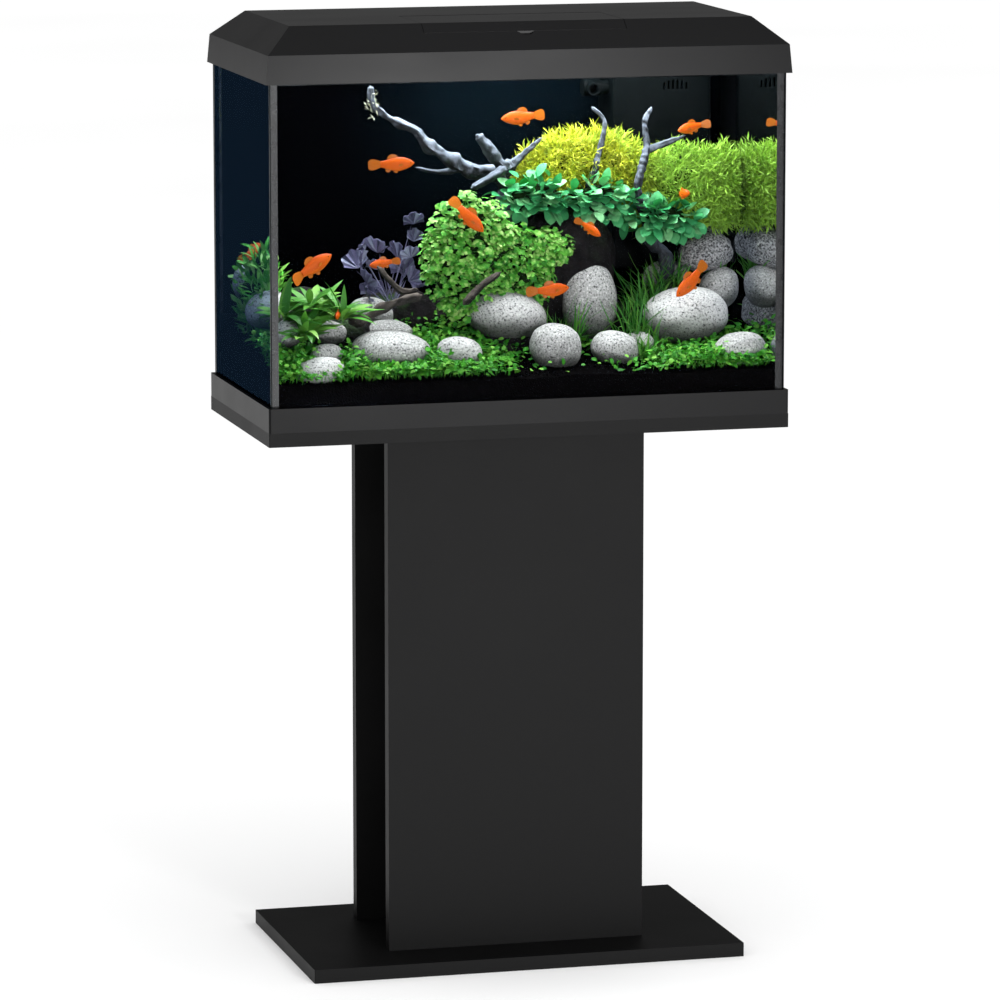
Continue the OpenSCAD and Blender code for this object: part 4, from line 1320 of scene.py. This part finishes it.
class Carpet(Plant):
    """Low leaves along the front and between the stones."""

    node, slot, seed = "front_carpet", "carpet_leaf", 34
    count = 9500

    def fill(self) -> None:
        """Small leaves on short stems, in drifts."""
        rng, inside = self.rng, self.inside
        x = rng.uniform(-0.97, 0.97, self.count * 2)
        y = rng.beta(1.1, 2.6, self.count * 2) * 1.5 - 0.97
        drift = ripple(np.stack([x * 9, y * 3, np.zeros_like(x)], -1), rng, 7, 1.0)
        chosen = np.argsort(-(drift + rng.normal(size=len(x)) * 0.55))[:self.count]
        x, y, drift = x[chosen], y[chosen], drift[chosen]
        tall = np.clip(13 + 9 * drift + rng.uniform(-7, 12, self.count), 2, 38) * (1 + 0.2 * (y + 0.97))
        ground = np.stack([x * inside.half_x, y * inside.half_y, inside.sand(y)], -1)
        for stone in (stone for group in STONES[1:] for stone in group.stones):
            middle, reach = stone.centre(inside), stone.half_width * MM
            before = (np.abs(ground[:, 0] - middle[0]) < 0.8 * reach) & (ground[:, 1] < middle[1])
            before &= ground[:, 1] > middle[1] - reach - 28 * MM
            tall = np.where(before, np.minimum(tall, stone.over * 0.3 + 8), tall)
        height = tall * rng.uniform(0.15, 1.0, self.count) ** 0.6
        lean = [rng.normal(size=self.count) * 3, rng.normal(size=self.count) * 3, height]
        top = ground + np.stack(lean, -1) * MM
        self.stems(ground[::4], top[::4], 0.35, CARPET)
        aim = unit(rng.normal(size=(self.count, 3)) * np.array([1, 1, 0.45]) + np.array([0, -0.25, 0.3]))
        up = unit(np.array([0, -0.4, 1.0]) + rng.normal(size=(self.count, 3)) * 0.4)
        self.bag.grow(Blade(3, 0.5, 0.6, 0.14, 0.06), top, aim, up, self.between(4.5, 9.5, self.count),
                      self.between(1.6, 3.2, self.count), rng.uniform(0.0, 0.9, self.count), CARPET)


class LongLeaves(Plant):
    """Long lance-shaped leaves on the left."""

    node, slot, seed = "sword_plants", "long_leaf", 35
    fringe = Mound(-0.9, 0.45, 0.27, 0.085, 0.42, 0.17)

    def fill(self) -> None:
        """Two rosettes in front, and a tall fringe along the left pane."""
        rng, inside = self.rng, self.inside
        for x, y, z in ((-0.9, -0.45, 0.27), (-0.78, -0.42, 0.29), (-0.68, -0.5, 0.27), (-0.85, -0.6, 0.22)):
            count = 26
            base = inside.at(x, y, z) + rng.normal(size=(count, 3)) * 3 * MM
            aim = unit(rng.normal(size=(count, 3)) * np.array([1, 0.7, 0.25]) + np.array([0, -0.25, 0.75]))
            self.bag.grow(Blade(9, 0.45, 0.85, 0.2, 0.05), base, aim, np.tile([0.0, -0.3, 1.0], (count, 1)),
                          self.between(30, 56, count), self.between(3.2, 5.4, count),
                          rng.uniform(0.3, 1.3, count), LANCE)
        self.fringe.core(self.bag, inside, rng, 0.7)
        at, out = self.fringe.scatter(inside, rng, 420, -0.95, (0.6, 1.0))
        count = len(at)
        aim = unit(out * 0.5 + np.array([-0.2, 0, 0.8]) + rng.normal(size=at.shape) * 0.4)
        self.bag.grow(Blade(4, 0.45, 0.8, 0.2, 0.06), at, aim, unit(rng.normal(size=at.shape) + [0, 0, 1]),
                      self.between(12, 26, count), self.between(1.6, 3.4, count),
                      rng.uniform(0.2, 1.2, count), BUSH)


class Lotus(Plant):
    """Crinkled violet fans on stalks."""

    node, slot, seed = "lotus_plants", "lotus_leaf", 36
    fans = 17
    across = 25
    deep = 7

    def _fan(self, base: np.ndarray, aim: np.ndarray, up: np.ndarray, size: float) -> None:
        """Adds one pleated fan as a thin closed sheet."""
        aim, up = unit(aim), unit(up)
        side = unit(np.cross(aim, up))
        up = np.cross(side, aim)
        angle = np.linspace(-1.25, 1.25, self.across)
        reach = np.linspace(0.0, 1.0, self.deep)
        a, r = np.meshgrid(angle, reach)
        edge = 1 - 0.28 * (np.abs(a) / 1.25) ** 3 + 0.07 * np.cos(a * 9)
        out = r * edge * size
        pleat = np.cos(a * 15) * 0.075 * size * r + (r ** 2) * size * 0.25
        sheets = []
        for gap in (0.35 * MM, -0.35 * MM):
            at = base + side * (np.sin(a) * out)[..., None] + aim * (np.cos(a) * out)[..., None]
            sheets.append((at + up * (pleat + gap)[..., None]).reshape(-1, 3))
        verts = np.vstack(sheets)
        grid = np.arange(self.across * self.deep).reshape(self.deep, self.across)
        p, q, s, t = grid[:-1, :-1], grid[:-1, 1:], grid[1:, 1:], grid[1:, :-1]
        upper = np.stack([p, q, s, t], -1).reshape(-1, 4)
        lower = upper[:, ::-1] + grid.size
        rim = np.concatenate([grid[0, :-1], grid[:-1, -1], grid[-1, :0:-1], grid[:0:-1, 0]])
        after = np.roll(rim, -1)
        wall = np.stack([rim, rim + grid.size, after + grid.size, after], -1)
        self.bag.add(verts, upper[:, ::-1], lower[:, ::-1], wall[:, ::-1], finish=LOTUS)

    def fill(self) -> None:
        """Fans at several heights, each on its stalk."""
        rng = self.rng
        foot = self.inside.at(-0.43, -0.02, 0.27)
        for i in range(self.fans):
            spot = self.inside.at(-0.44, -0.03, 0.38) + rng.uniform(-1, 1, 3) * np.array([32, 24, 30]) * MM
            if i < 2:
                spot = self.inside.at(-0.335, 0.0, 0.46 + 0.05 * i)
            aim = unit(spot - foot) * 0.5 + rng.normal(size=3) * 0.4 + np.array([0, -0.3, 0.35])
            face = rng.normal(size=3) * 0.5 + np.array([0, -0.8, 0.7])
            self._fan(spot, aim, face, rng.uniform(13, 24) * MM)
            self.stems(foot[None] + rng.normal(size=(1, 3)) * 4 * MM, spot[None], 0.8, LOTUS)


class Grass(Plant):
    """Grass beside the tall stone and behind the large one."""

    node, slot, seed = "grass_tufts", "grass_leaf", 37

    def fill(self) -> None:
        """Tufts of arching blades."""
        rng, inside = self.rng, self.inside
        for x, y, z, count, tall in ((0.25, -0.3, 0.12, 60, 88), (0.53, -0.3, 0.13, 120, 84),
                                     (0.6, -0.36, 0.14, 90, 66),
                                     (0.62, -0.1, 0.22, 70, 80), (0.5, -0.62, 0.11, 90, 46),
                                     (0.72, 0.05, 0.28, 60, 60), (0.93, 0.15, 0.3, 50, 50)):
            base = inside.at(x, y, z) + rng.normal(size=(count, 3)) * np.array([8, 6, 1]) * MM
            aim = unit(rng.normal(size=(count, 3)) * np.array([0.4, 0.3, 0.1]) + np.array([0, -0.05, 1.0]))
            self.bag.grow(Blade(7, 0.3, 0.5, 0.3, 0.12), base, aim, unit(rng.normal(size=(count, 3))),
                          self.between(tall * 0.55, tall, count), self.between(0.7, 1.4, count),
                          rng.uniform(0.2, 1.5, count), GRASS)


# ---------------------------------------------------------------- fish


@dataclass(frozen=True)
class Fish:
    """One fish: its place in shares of the inside, length in millimetres, heading and climb in degrees."""

    x: float
    y: float
    z: float
    length: float
    heading: float
    climb: float
    sway: float

    def build(self, number: int, inside: Inside) -> bpy.types.Object:
        """The fish's piece."""
        bag = Bag()
        self._trunk(bag)
        self._fins(bag)
        self._eyes(bag)
        turn, tilt = math.radians(self.heading), math.radians(self.climb)
        rise = np.array([[math.cos(tilt), 0, -math.sin(tilt)], [0, 1, 0],
                         [math.sin(tilt), 0, math.cos(tilt)]])
        yaw = np.array([[math.cos(turn), -math.sin(turn), 0], [math.sin(turn), math.cos(turn), 0],
                        [0, 0, 1]])
        place = inside.at(self.x, self.y, self.z)
        for i, verts in enumerate(bag.verts):
            verts[:, 1] += self.sway * np.maximum(0.2 - verts[:, 0], 0) ** 2
            bag.verts[i] = verts * self.length * MM @ rise.T @ yaw.T + place
        replaced = ["swordtail_fish"] if number == 1 else []
        return bag.piece(f"fish_{number:02d}", "tank", "orange_fish", replaced, 70.0)

    @staticmethod
    def _trunk(bag: Bag) -> None:
        """Head to tail root, oval in section, in lengths of the fish."""
        stations = through([(0.5, 0.006, 0.004, 0.005), (0.465, 0.036, 0.028, 0.004), (0.4, 0.075, 0.052, 0.004),
                            (0.27, 0.118, 0.07, 0.002), (0.13, 0.132, 0.071, -0.004), (-0.02, 0.11, 0.055, -0.004),
                            (-0.15, 0.076, 0.034, 0.004), (-0.24, 0.06, 0.018, 0.006)], 22)
        stations = stations * np.array([1, 1.14, 1.1, 1])
        angle = np.linspace(0, 2 * np.pi, 18, endpoint=False)
        x, high, wide, mid = stations.T
        ring = np.stack([np.repeat(x[:, None], 18, 1), wide[:, None] * np.cos(angle),
                         mid[:, None] + high[:, None] * np.sin(angle)], -1)
        verts = np.vstack([ring.reshape(-1, 3), [[0.505, 0, 0.005]], [[-0.25, 0, 0.006]]])
        rows, j = np.meshgrid(np.arange(21) * 18, np.arange(18), indexing="ij")
        n = (j + 1) % 18
        quads = np.stack([rows + j, rows + 18 + j, rows + 18 + n, rows + n], -1).reshape(-1, 4)
        k = np.arange(18)
        m = (k + 1) % 18
        caps = np.vstack([np.stack([np.full(18, 396), k, m], -1),
                          np.stack([np.full(18, 397), 378 + m, 378 + k], -1)])
        bag.add(verts, quads, caps, finish=SKIN)

    @staticmethod
    def _fins(bag: Bag) -> None:
        """Tail, back, belly and side fins."""
        y = np.array([0.0, 0.006, 0.0])
        tail = through([(-0.2, 0, 0.05), (-0.3, 0, 0.1), (-0.42, 0, 0.125), (-0.49, 0, 0.08), (-0.5, 0, 0.0),
                        (-0.49, 0, -0.09), (-0.42, 0, -0.12), (-0.3, 0, -0.085), (-0.2, 0, -0.04)], 26)
        back = through([(0.16, 0, 0.12), (0.1, 0, 0.2), (-0.02, 0, 0.215), (-0.1, 0, 0.14),
                        (-0.06, 0, 0.085)], 16)
        belly = through([(-0.0, 0, -0.1), (-0.07, 0, -0.175), (-0.14, 0, -0.14), (-0.13, 0, -0.07)], 12)
        for outline in (tail, back, belly):
            bag.plate(outline, y, FIN)
        for side in (-1, 1):
            low = through([(0.14, 0.02 * side, -0.11), (0.1, 0.045 * side, -0.19), (0.04, 0.04 * side, -0.17),
                           (0.08, 0.02 * side, -0.11)], 10)
            flank = through([(0.26, 0.066 * side, 0.0), (0.16, 0.115 * side, 0.02), (0.13, 0.11 * side, -0.04),
                             (0.24, 0.068 * side, -0.035)], 10)
            bag.plate(low, np.array([0.0, 0.003, 0.003]), FIN)
            bag.plate(flank, np.array([0.002, 0.003, 0.0]), FIN)

    @staticmethod
    def _eyes(bag: Bag) -> None:
        """A pale ring with a black eye in it, on both sides."""
        verts, faces = ball(2)
        for side in (-1, 1):
            spot = np.array([0.405, 0.046 * side, 0.022])
            bag.add(verts * np.array([0.026, 0.007, 0.026]) + spot, faces, finish=FIN)
            bag.add(verts * np.array([0.018, 0.011, 0.018]) + spot, faces, finish=EYE)


FISHES = (
    Fish(-0.47, -0.41, 0.7, 52, 0, 2, 0.3), Fish(-0.8, -0.48, 0.415, 58, 10, 28, -0.4),
    Fish(-0.9, 0.72, 0.41, 46, 50, 20, 0.3), Fish(-0.48, -0.21, 0.41, 36, 190, -8, 0.4),
    Fish(-0.7, -0.52, 0.28, 30, 250, 0, 0.5), Fish(-0.18, -0.48, 0.55, 52, -10, -46, 0.5),
    Fish(0.09, -0.14, 0.815, 53, 178, -4, -0.3), Fish(0.81, 0.1, 0.765, 42, 200, -10, 0.4),
    Fish(0.715, -0.25, 0.585, 34, -72, 8, 0.5), Fish(0.325, -0.36, 0.5, 36, -50, -30, -0.4),
    Fish(0.14, -0.52, 0.33, 50, 5, 4, 0.3), Fish(0.71, -0.6, 0.35, 54, 184, -44, -0.4),
)


# ---------------------------------------------------------------- casing, glass and fittings


class Edge(Enum):
    """How an edge of a CAD node is softened, in millimetres."""

    NONE = 0.0
    FINE = 0.3
    BOARD = 0.8
    MOULDED = 1.1


@dataclass(frozen=True)
class Dressing:
    """The finish and the edge of some CAD nodes."""

    finish: Finish
    edge: Edge
    nodes: tuple[str, ...]

    def dress(self) -> None:
        """Gives each node its finish and softens its edges."""
        for name in self.nodes:
            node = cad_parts[name]
            node.data.materials.clear()
            node.data.materials.append(self.finish.material())
            if self.edge is not Edge.NONE:
                weld = node.modifiers.new("weld", "WELD")
                weld.merge_threshold = 0.01 * MM
                bevel = node.modifiers.new("soft_edge", "BEVEL")
                bevel.width = self.edge.value * MM
                bevel.segments = 3
                bevel.limit_method = "ANGLE"
                bevel.angle_limit = math.radians(32)
                bevel.use_clamp_overlap = True
                shade = node.modifiers.new("even_shade", "WEIGHTED_NORMAL")
                shade.keep_sharp = False
            log.info("%s: dressed in %s", name, self.finish.name)


class Casing:
    """The stand, the tank's glass, the hood and what is fitted in them: CAD nodes that keep their shape."""

    def panes(self) -> list[Dressing]:
        """One finish for each pane, because each has its own outside."""
        made = []
        looks = {"front_pane": (1, -1, 0, (0.02, 0.03, 0.05), (0.93, 0.935, 0.94)),
                 "rear_pane": (1, 1, 0, (0.01, 0.011, 0.013), (0.96, 0.975, 0.98)),
                 # Left and right panes: see-through tints darkened and blued, painted shade for the light that
                 # glancing glass and water reflect away.
                 "left_pane": (0, -1, 1, (0.012, 0.03, 0.06), (0.6, 0.67, 0.76)),
                 "right_pane": (0, 1, 1, (0.012, 0.03, 0.06), (0.66, 0.7, 0.76))}
        for name, (axis, way, edge_axis, shine, tint) in looks.items():
            low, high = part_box(name)
            middle = (low[axis] + high[axis]) / 2
            edge = high[edge_axis] - 0.3 * MM
            finish = PaneFinish(name + "_glass", axis, middle, way, edge_axis, edge, shine, tint)
            made.append(Dressing(finish, Edge.NONE, (name,)))
        return made

    def dress(self) -> None:
        """Dresses every node that keeps its shape."""
        rows = [
            Dressing(BOARD, Edge.BOARD,
                     ("base_plate", "front_panel", "rear_panel", "spine_panel", "top_board")),
            Dressing(FRAME, Edge.MOULDED, ("base_frame",)),
            Dressing(HOOD, Edge.MOULDED, ("hood_shell",)),
            Dressing(HOOD, Edge.FINE, ("feeding_flap",)),
            Dressing(FILTER, Edge.FINE,
                     ("filter_housing", "filter_cover", "pump_body", "pump_cover", "outlet_pipe",
                      "outlet_nozzle", "heater_cap", "light_end_caps", "light_cable_gland")),
            Dressing(RUBBER, Edge.NONE, ("suction_cups",)),
            Dressing(IMPELLER, Edge.NONE, ("pump_impeller",)),
            Dressing(CERAMIC, Edge.NONE, ("impeller_shaft",)),
            Dressing(CIRCUIT, Edge.NONE, ("led_board",)),
            Dressing(GlowFinish("chip_glow"), Edge.NONE, ("led_chips",)),
            Dressing(FrostFinish("frosted_lens"), Edge.NONE, ("light_lens",)),
            Dressing(FrostFinish("heater_glass", (0.6, 0.65, 0.66), 0.7), Edge.NONE, ("heater_tube",)),
            Dressing(FoamFinish("coarse_foam"), Edge.NONE, ("coarse_sponge",)),
            Dressing(FoamFinish("fine_foam", (0.6, 0.58, 0.5), 1300.0), Edge.NONE, ("fine_sponge",)),
            Dressing(ALLOY, Edge.FINE, ("light_housing",)),
            Dressing(STEEL, Edge.NONE, ("base_screws", "top_screws", "flap_hinge_pins", "light_screws",
                                        "light_brackets")),
            Dressing(SILICONE, Edge.NONE, ("floor_seam", "corner_seams")),
            Dressing(BottomFinish("bottom_glass"), Edge.NONE, ("bottom_pane",)),
            Dressing(FilmFinish("navy_film"), Edge.NONE, ("background_film",)),
            *self.panes(),
        ]
        for row in rows:
            row.dress()


@dataclass
class WaterTop:
    """The water's top, a thin sheet just under the hood's lip."""

    inside: Inside
    thick: float = 0.6
    below_lip: float = 1.6

    def build(self) -> bpy.types.Object:
        """A thin closed sheet."""
        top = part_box("hood_shell")[0].z - self.below_lip * MM
        half_x, half_y = self.inside.half_x - 0.2 * MM, self.inside.half_y - 0.2 * MM
        corners = np.array([(-half_x, -half_y), (half_x, -half_y), (half_x, half_y), (-half_x, half_y)])
        upper = np.column_stack([corners, np.full(4, top)])
        lower = np.column_stack([corners, np.full(4, top - self.thick * MM)])
        sides = [(i, (i + 4), (i + 1) % 4 + 4, (i + 1) % 4) for i in range(4)]
        bag = Bag()
        bag.add(np.vstack([upper, lower]), np.array([(0, 1, 2, 3), (7, 6, 5, 4), *sides]), finish=WATER)
        return bag.piece("water_top", "tank", "clear_glass")


# ---------------------------------------------------------------- studio


@dataclass
class Studio:
    """Floor, backdrop, lights and camera."""

    camera_at: tuple[float, float, float] = (-1.7145, -6.4262, 1.6127)
    yaw: float = -0.2613
    pitch: float = 0.1623
    lens: float = 208.8
    strip_power: float = 2.6
    fill_power: float = 4.6
    mirrored: float = 0.16
    ambient: float = 1.06
    floor_half: float = 14.0
    fill_depth: float = 0.22
    lens_gap: float = 2.2

    def build(self) -> None:
        """Makes the whole studio."""
        self._camera()
        self._surroundings()
        self._floor()
        self._softbox("overhead", (0.0, -0.6, 3.6), (0.0, 0.0, 0.6), 3.0, 2.4, 16.0)
        self._softbox("lip_light", (0.64, -3.05, 1.0), (-0.1, -0.15, 1.04), 0.36, 0.4, 26.0)
        self._softbox("frame_light", (0.6, -3.05, 0.13), (-0.1, -0.15, 0.62), 0.4, 0.18, 14.0)
        self._tank_light()

    def _camera(self) -> None:
        """The camera, level across, looking slightly down."""
        data = bpy.data.cameras.new("camera")
        data.lens = self.lens
        data.sensor_width = 36.0
        data.clip_end = 100.0
        made = bpy.data.objects.new("camera", data)
        made.location = self.camera_at
        made.rotation_euler = (math.pi / 2 - self.pitch, 0.0, self.yaw)
        bpy.context.scene.collection.objects.link(made)
        bpy.context.scene.camera = made

    def _surroundings(self) -> None:
        """Even white light from all round, which shiny surfaces mirror only faintly."""
        scene = bpy.context.scene
        scene.view_settings.view_transform = "Standard"
        world = bpy.data.worlds.new("white_room")
        world.use_nodes = True
        nodes, links = world.node_tree.nodes, world.node_tree.links
        background = nodes["Background"]
        background.inputs["Color"].default_value = (1.0, 1.0, 1.0, 1.0)
        path = nodes.new("ShaderNodeLightPath")
        strength = nodes.new("ShaderNodeMapRange")
        strength.inputs["To Min"].default_value = self.ambient
        strength.inputs["To Max"].default_value = self.mirrored
        links.new(path.outputs["Is Glossy Ray"], strength.inputs["Value"])
        links.new(strength.outputs[0], background.inputs["Strength"])
        scene.world = world

    def _floor(self) -> None:
        """A plain pale floor."""
        half = self.floor_half
        corners = np.array([(-half, -half, 0), (half, -half, 0), (half, half, 0), (-half, half, 0)], float)
        mesh = bpy.data.meshes.new("studio_floor")
        mesh.from_pydata(corners.tolist(), [], [(0, 1, 2, 3)])
        mesh.materials.append(FLOOR.material())
        made = bpy.data.objects.new("studio_floor", mesh)
        bpy.context.scene.collection.objects.link(made)

    def _softbox(self, name: str, at: tuple[float, float, float], target: tuple[float, float, float],
                 width: float, height: float, power: float) -> bpy.types.Object:
        """A rectangular soft light.

        Args:
            name: Its name.
            at: Where it stands.
            target: The point that it faces.
            width: Its width.
            height: Its height.
            power: Its power in watts.

        Returns:
            The light.
        """
        data = bpy.data.lights.new(name, "AREA")
        data.shape = "RECTANGLE"
        data.size, data.size_y = width, height
        data.energy = power
        made = bpy.data.objects.new(name, data)
        bpy.context.scene.collection.objects.link(made)
        made.location = at
        way = np.array(target) - np.array(at)
        flat = math.hypot(way[0], way[1])
        turn = math.atan2(-way[0], way[1]) if flat > 1e-6 else 0.0
        made.rotation_euler = (math.atan2(flat, -way[2]), 0.0, turn)
        made.visible_camera = False
        return made

    def _tank_light(self) -> None:
        """The light of the unit in the hood, and the softer light that the hood's inside throws back."""
        low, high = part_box("light_lens")
        middle = (low + high) / 2
        under = low.z - self.lens_gap * MM
        width = high.x - low.x
        strip = self._softbox("tank_strip", (middle.x, middle.y, under), (middle.x, middle.y, 0.0), width,
                              high.y - low.y, self.strip_power)
        fill = self._softbox("tank_fill", (middle.x, 0.0, under), (middle.x, 0.0, 0.0), width,
                             self.fill_depth, self.fill_power)
        fill.visible_glossy = False
        for made in (strip, fill):
            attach(made, "hood")


def main() -> None:
    """Builds everything in order."""
    logging.basicConfig(level=logging.INFO, format="%(message)s")
    Studio().build()
    Casing().dress()
    inside = Inside()
    SandBed(inside).build()
    for group in STONES:
        group.build(inside)
    for wood in WOODS:
        wood.build(inside)
    for plant in (Moss, Broadleaf, Bush, Carpet, LongLeaves, Lotus, Grass):
        plant(inside).build()
    for number, fish in enumerate(FISHES, 1):
        fish.build(number, inside)
    WaterTop(inside).build()
    log.info("built %d stone groups, %d pieces of wood and %d fish", len(STONES), len(WOODS), len(FISHES))


if __name__ == "__main__":
    main()
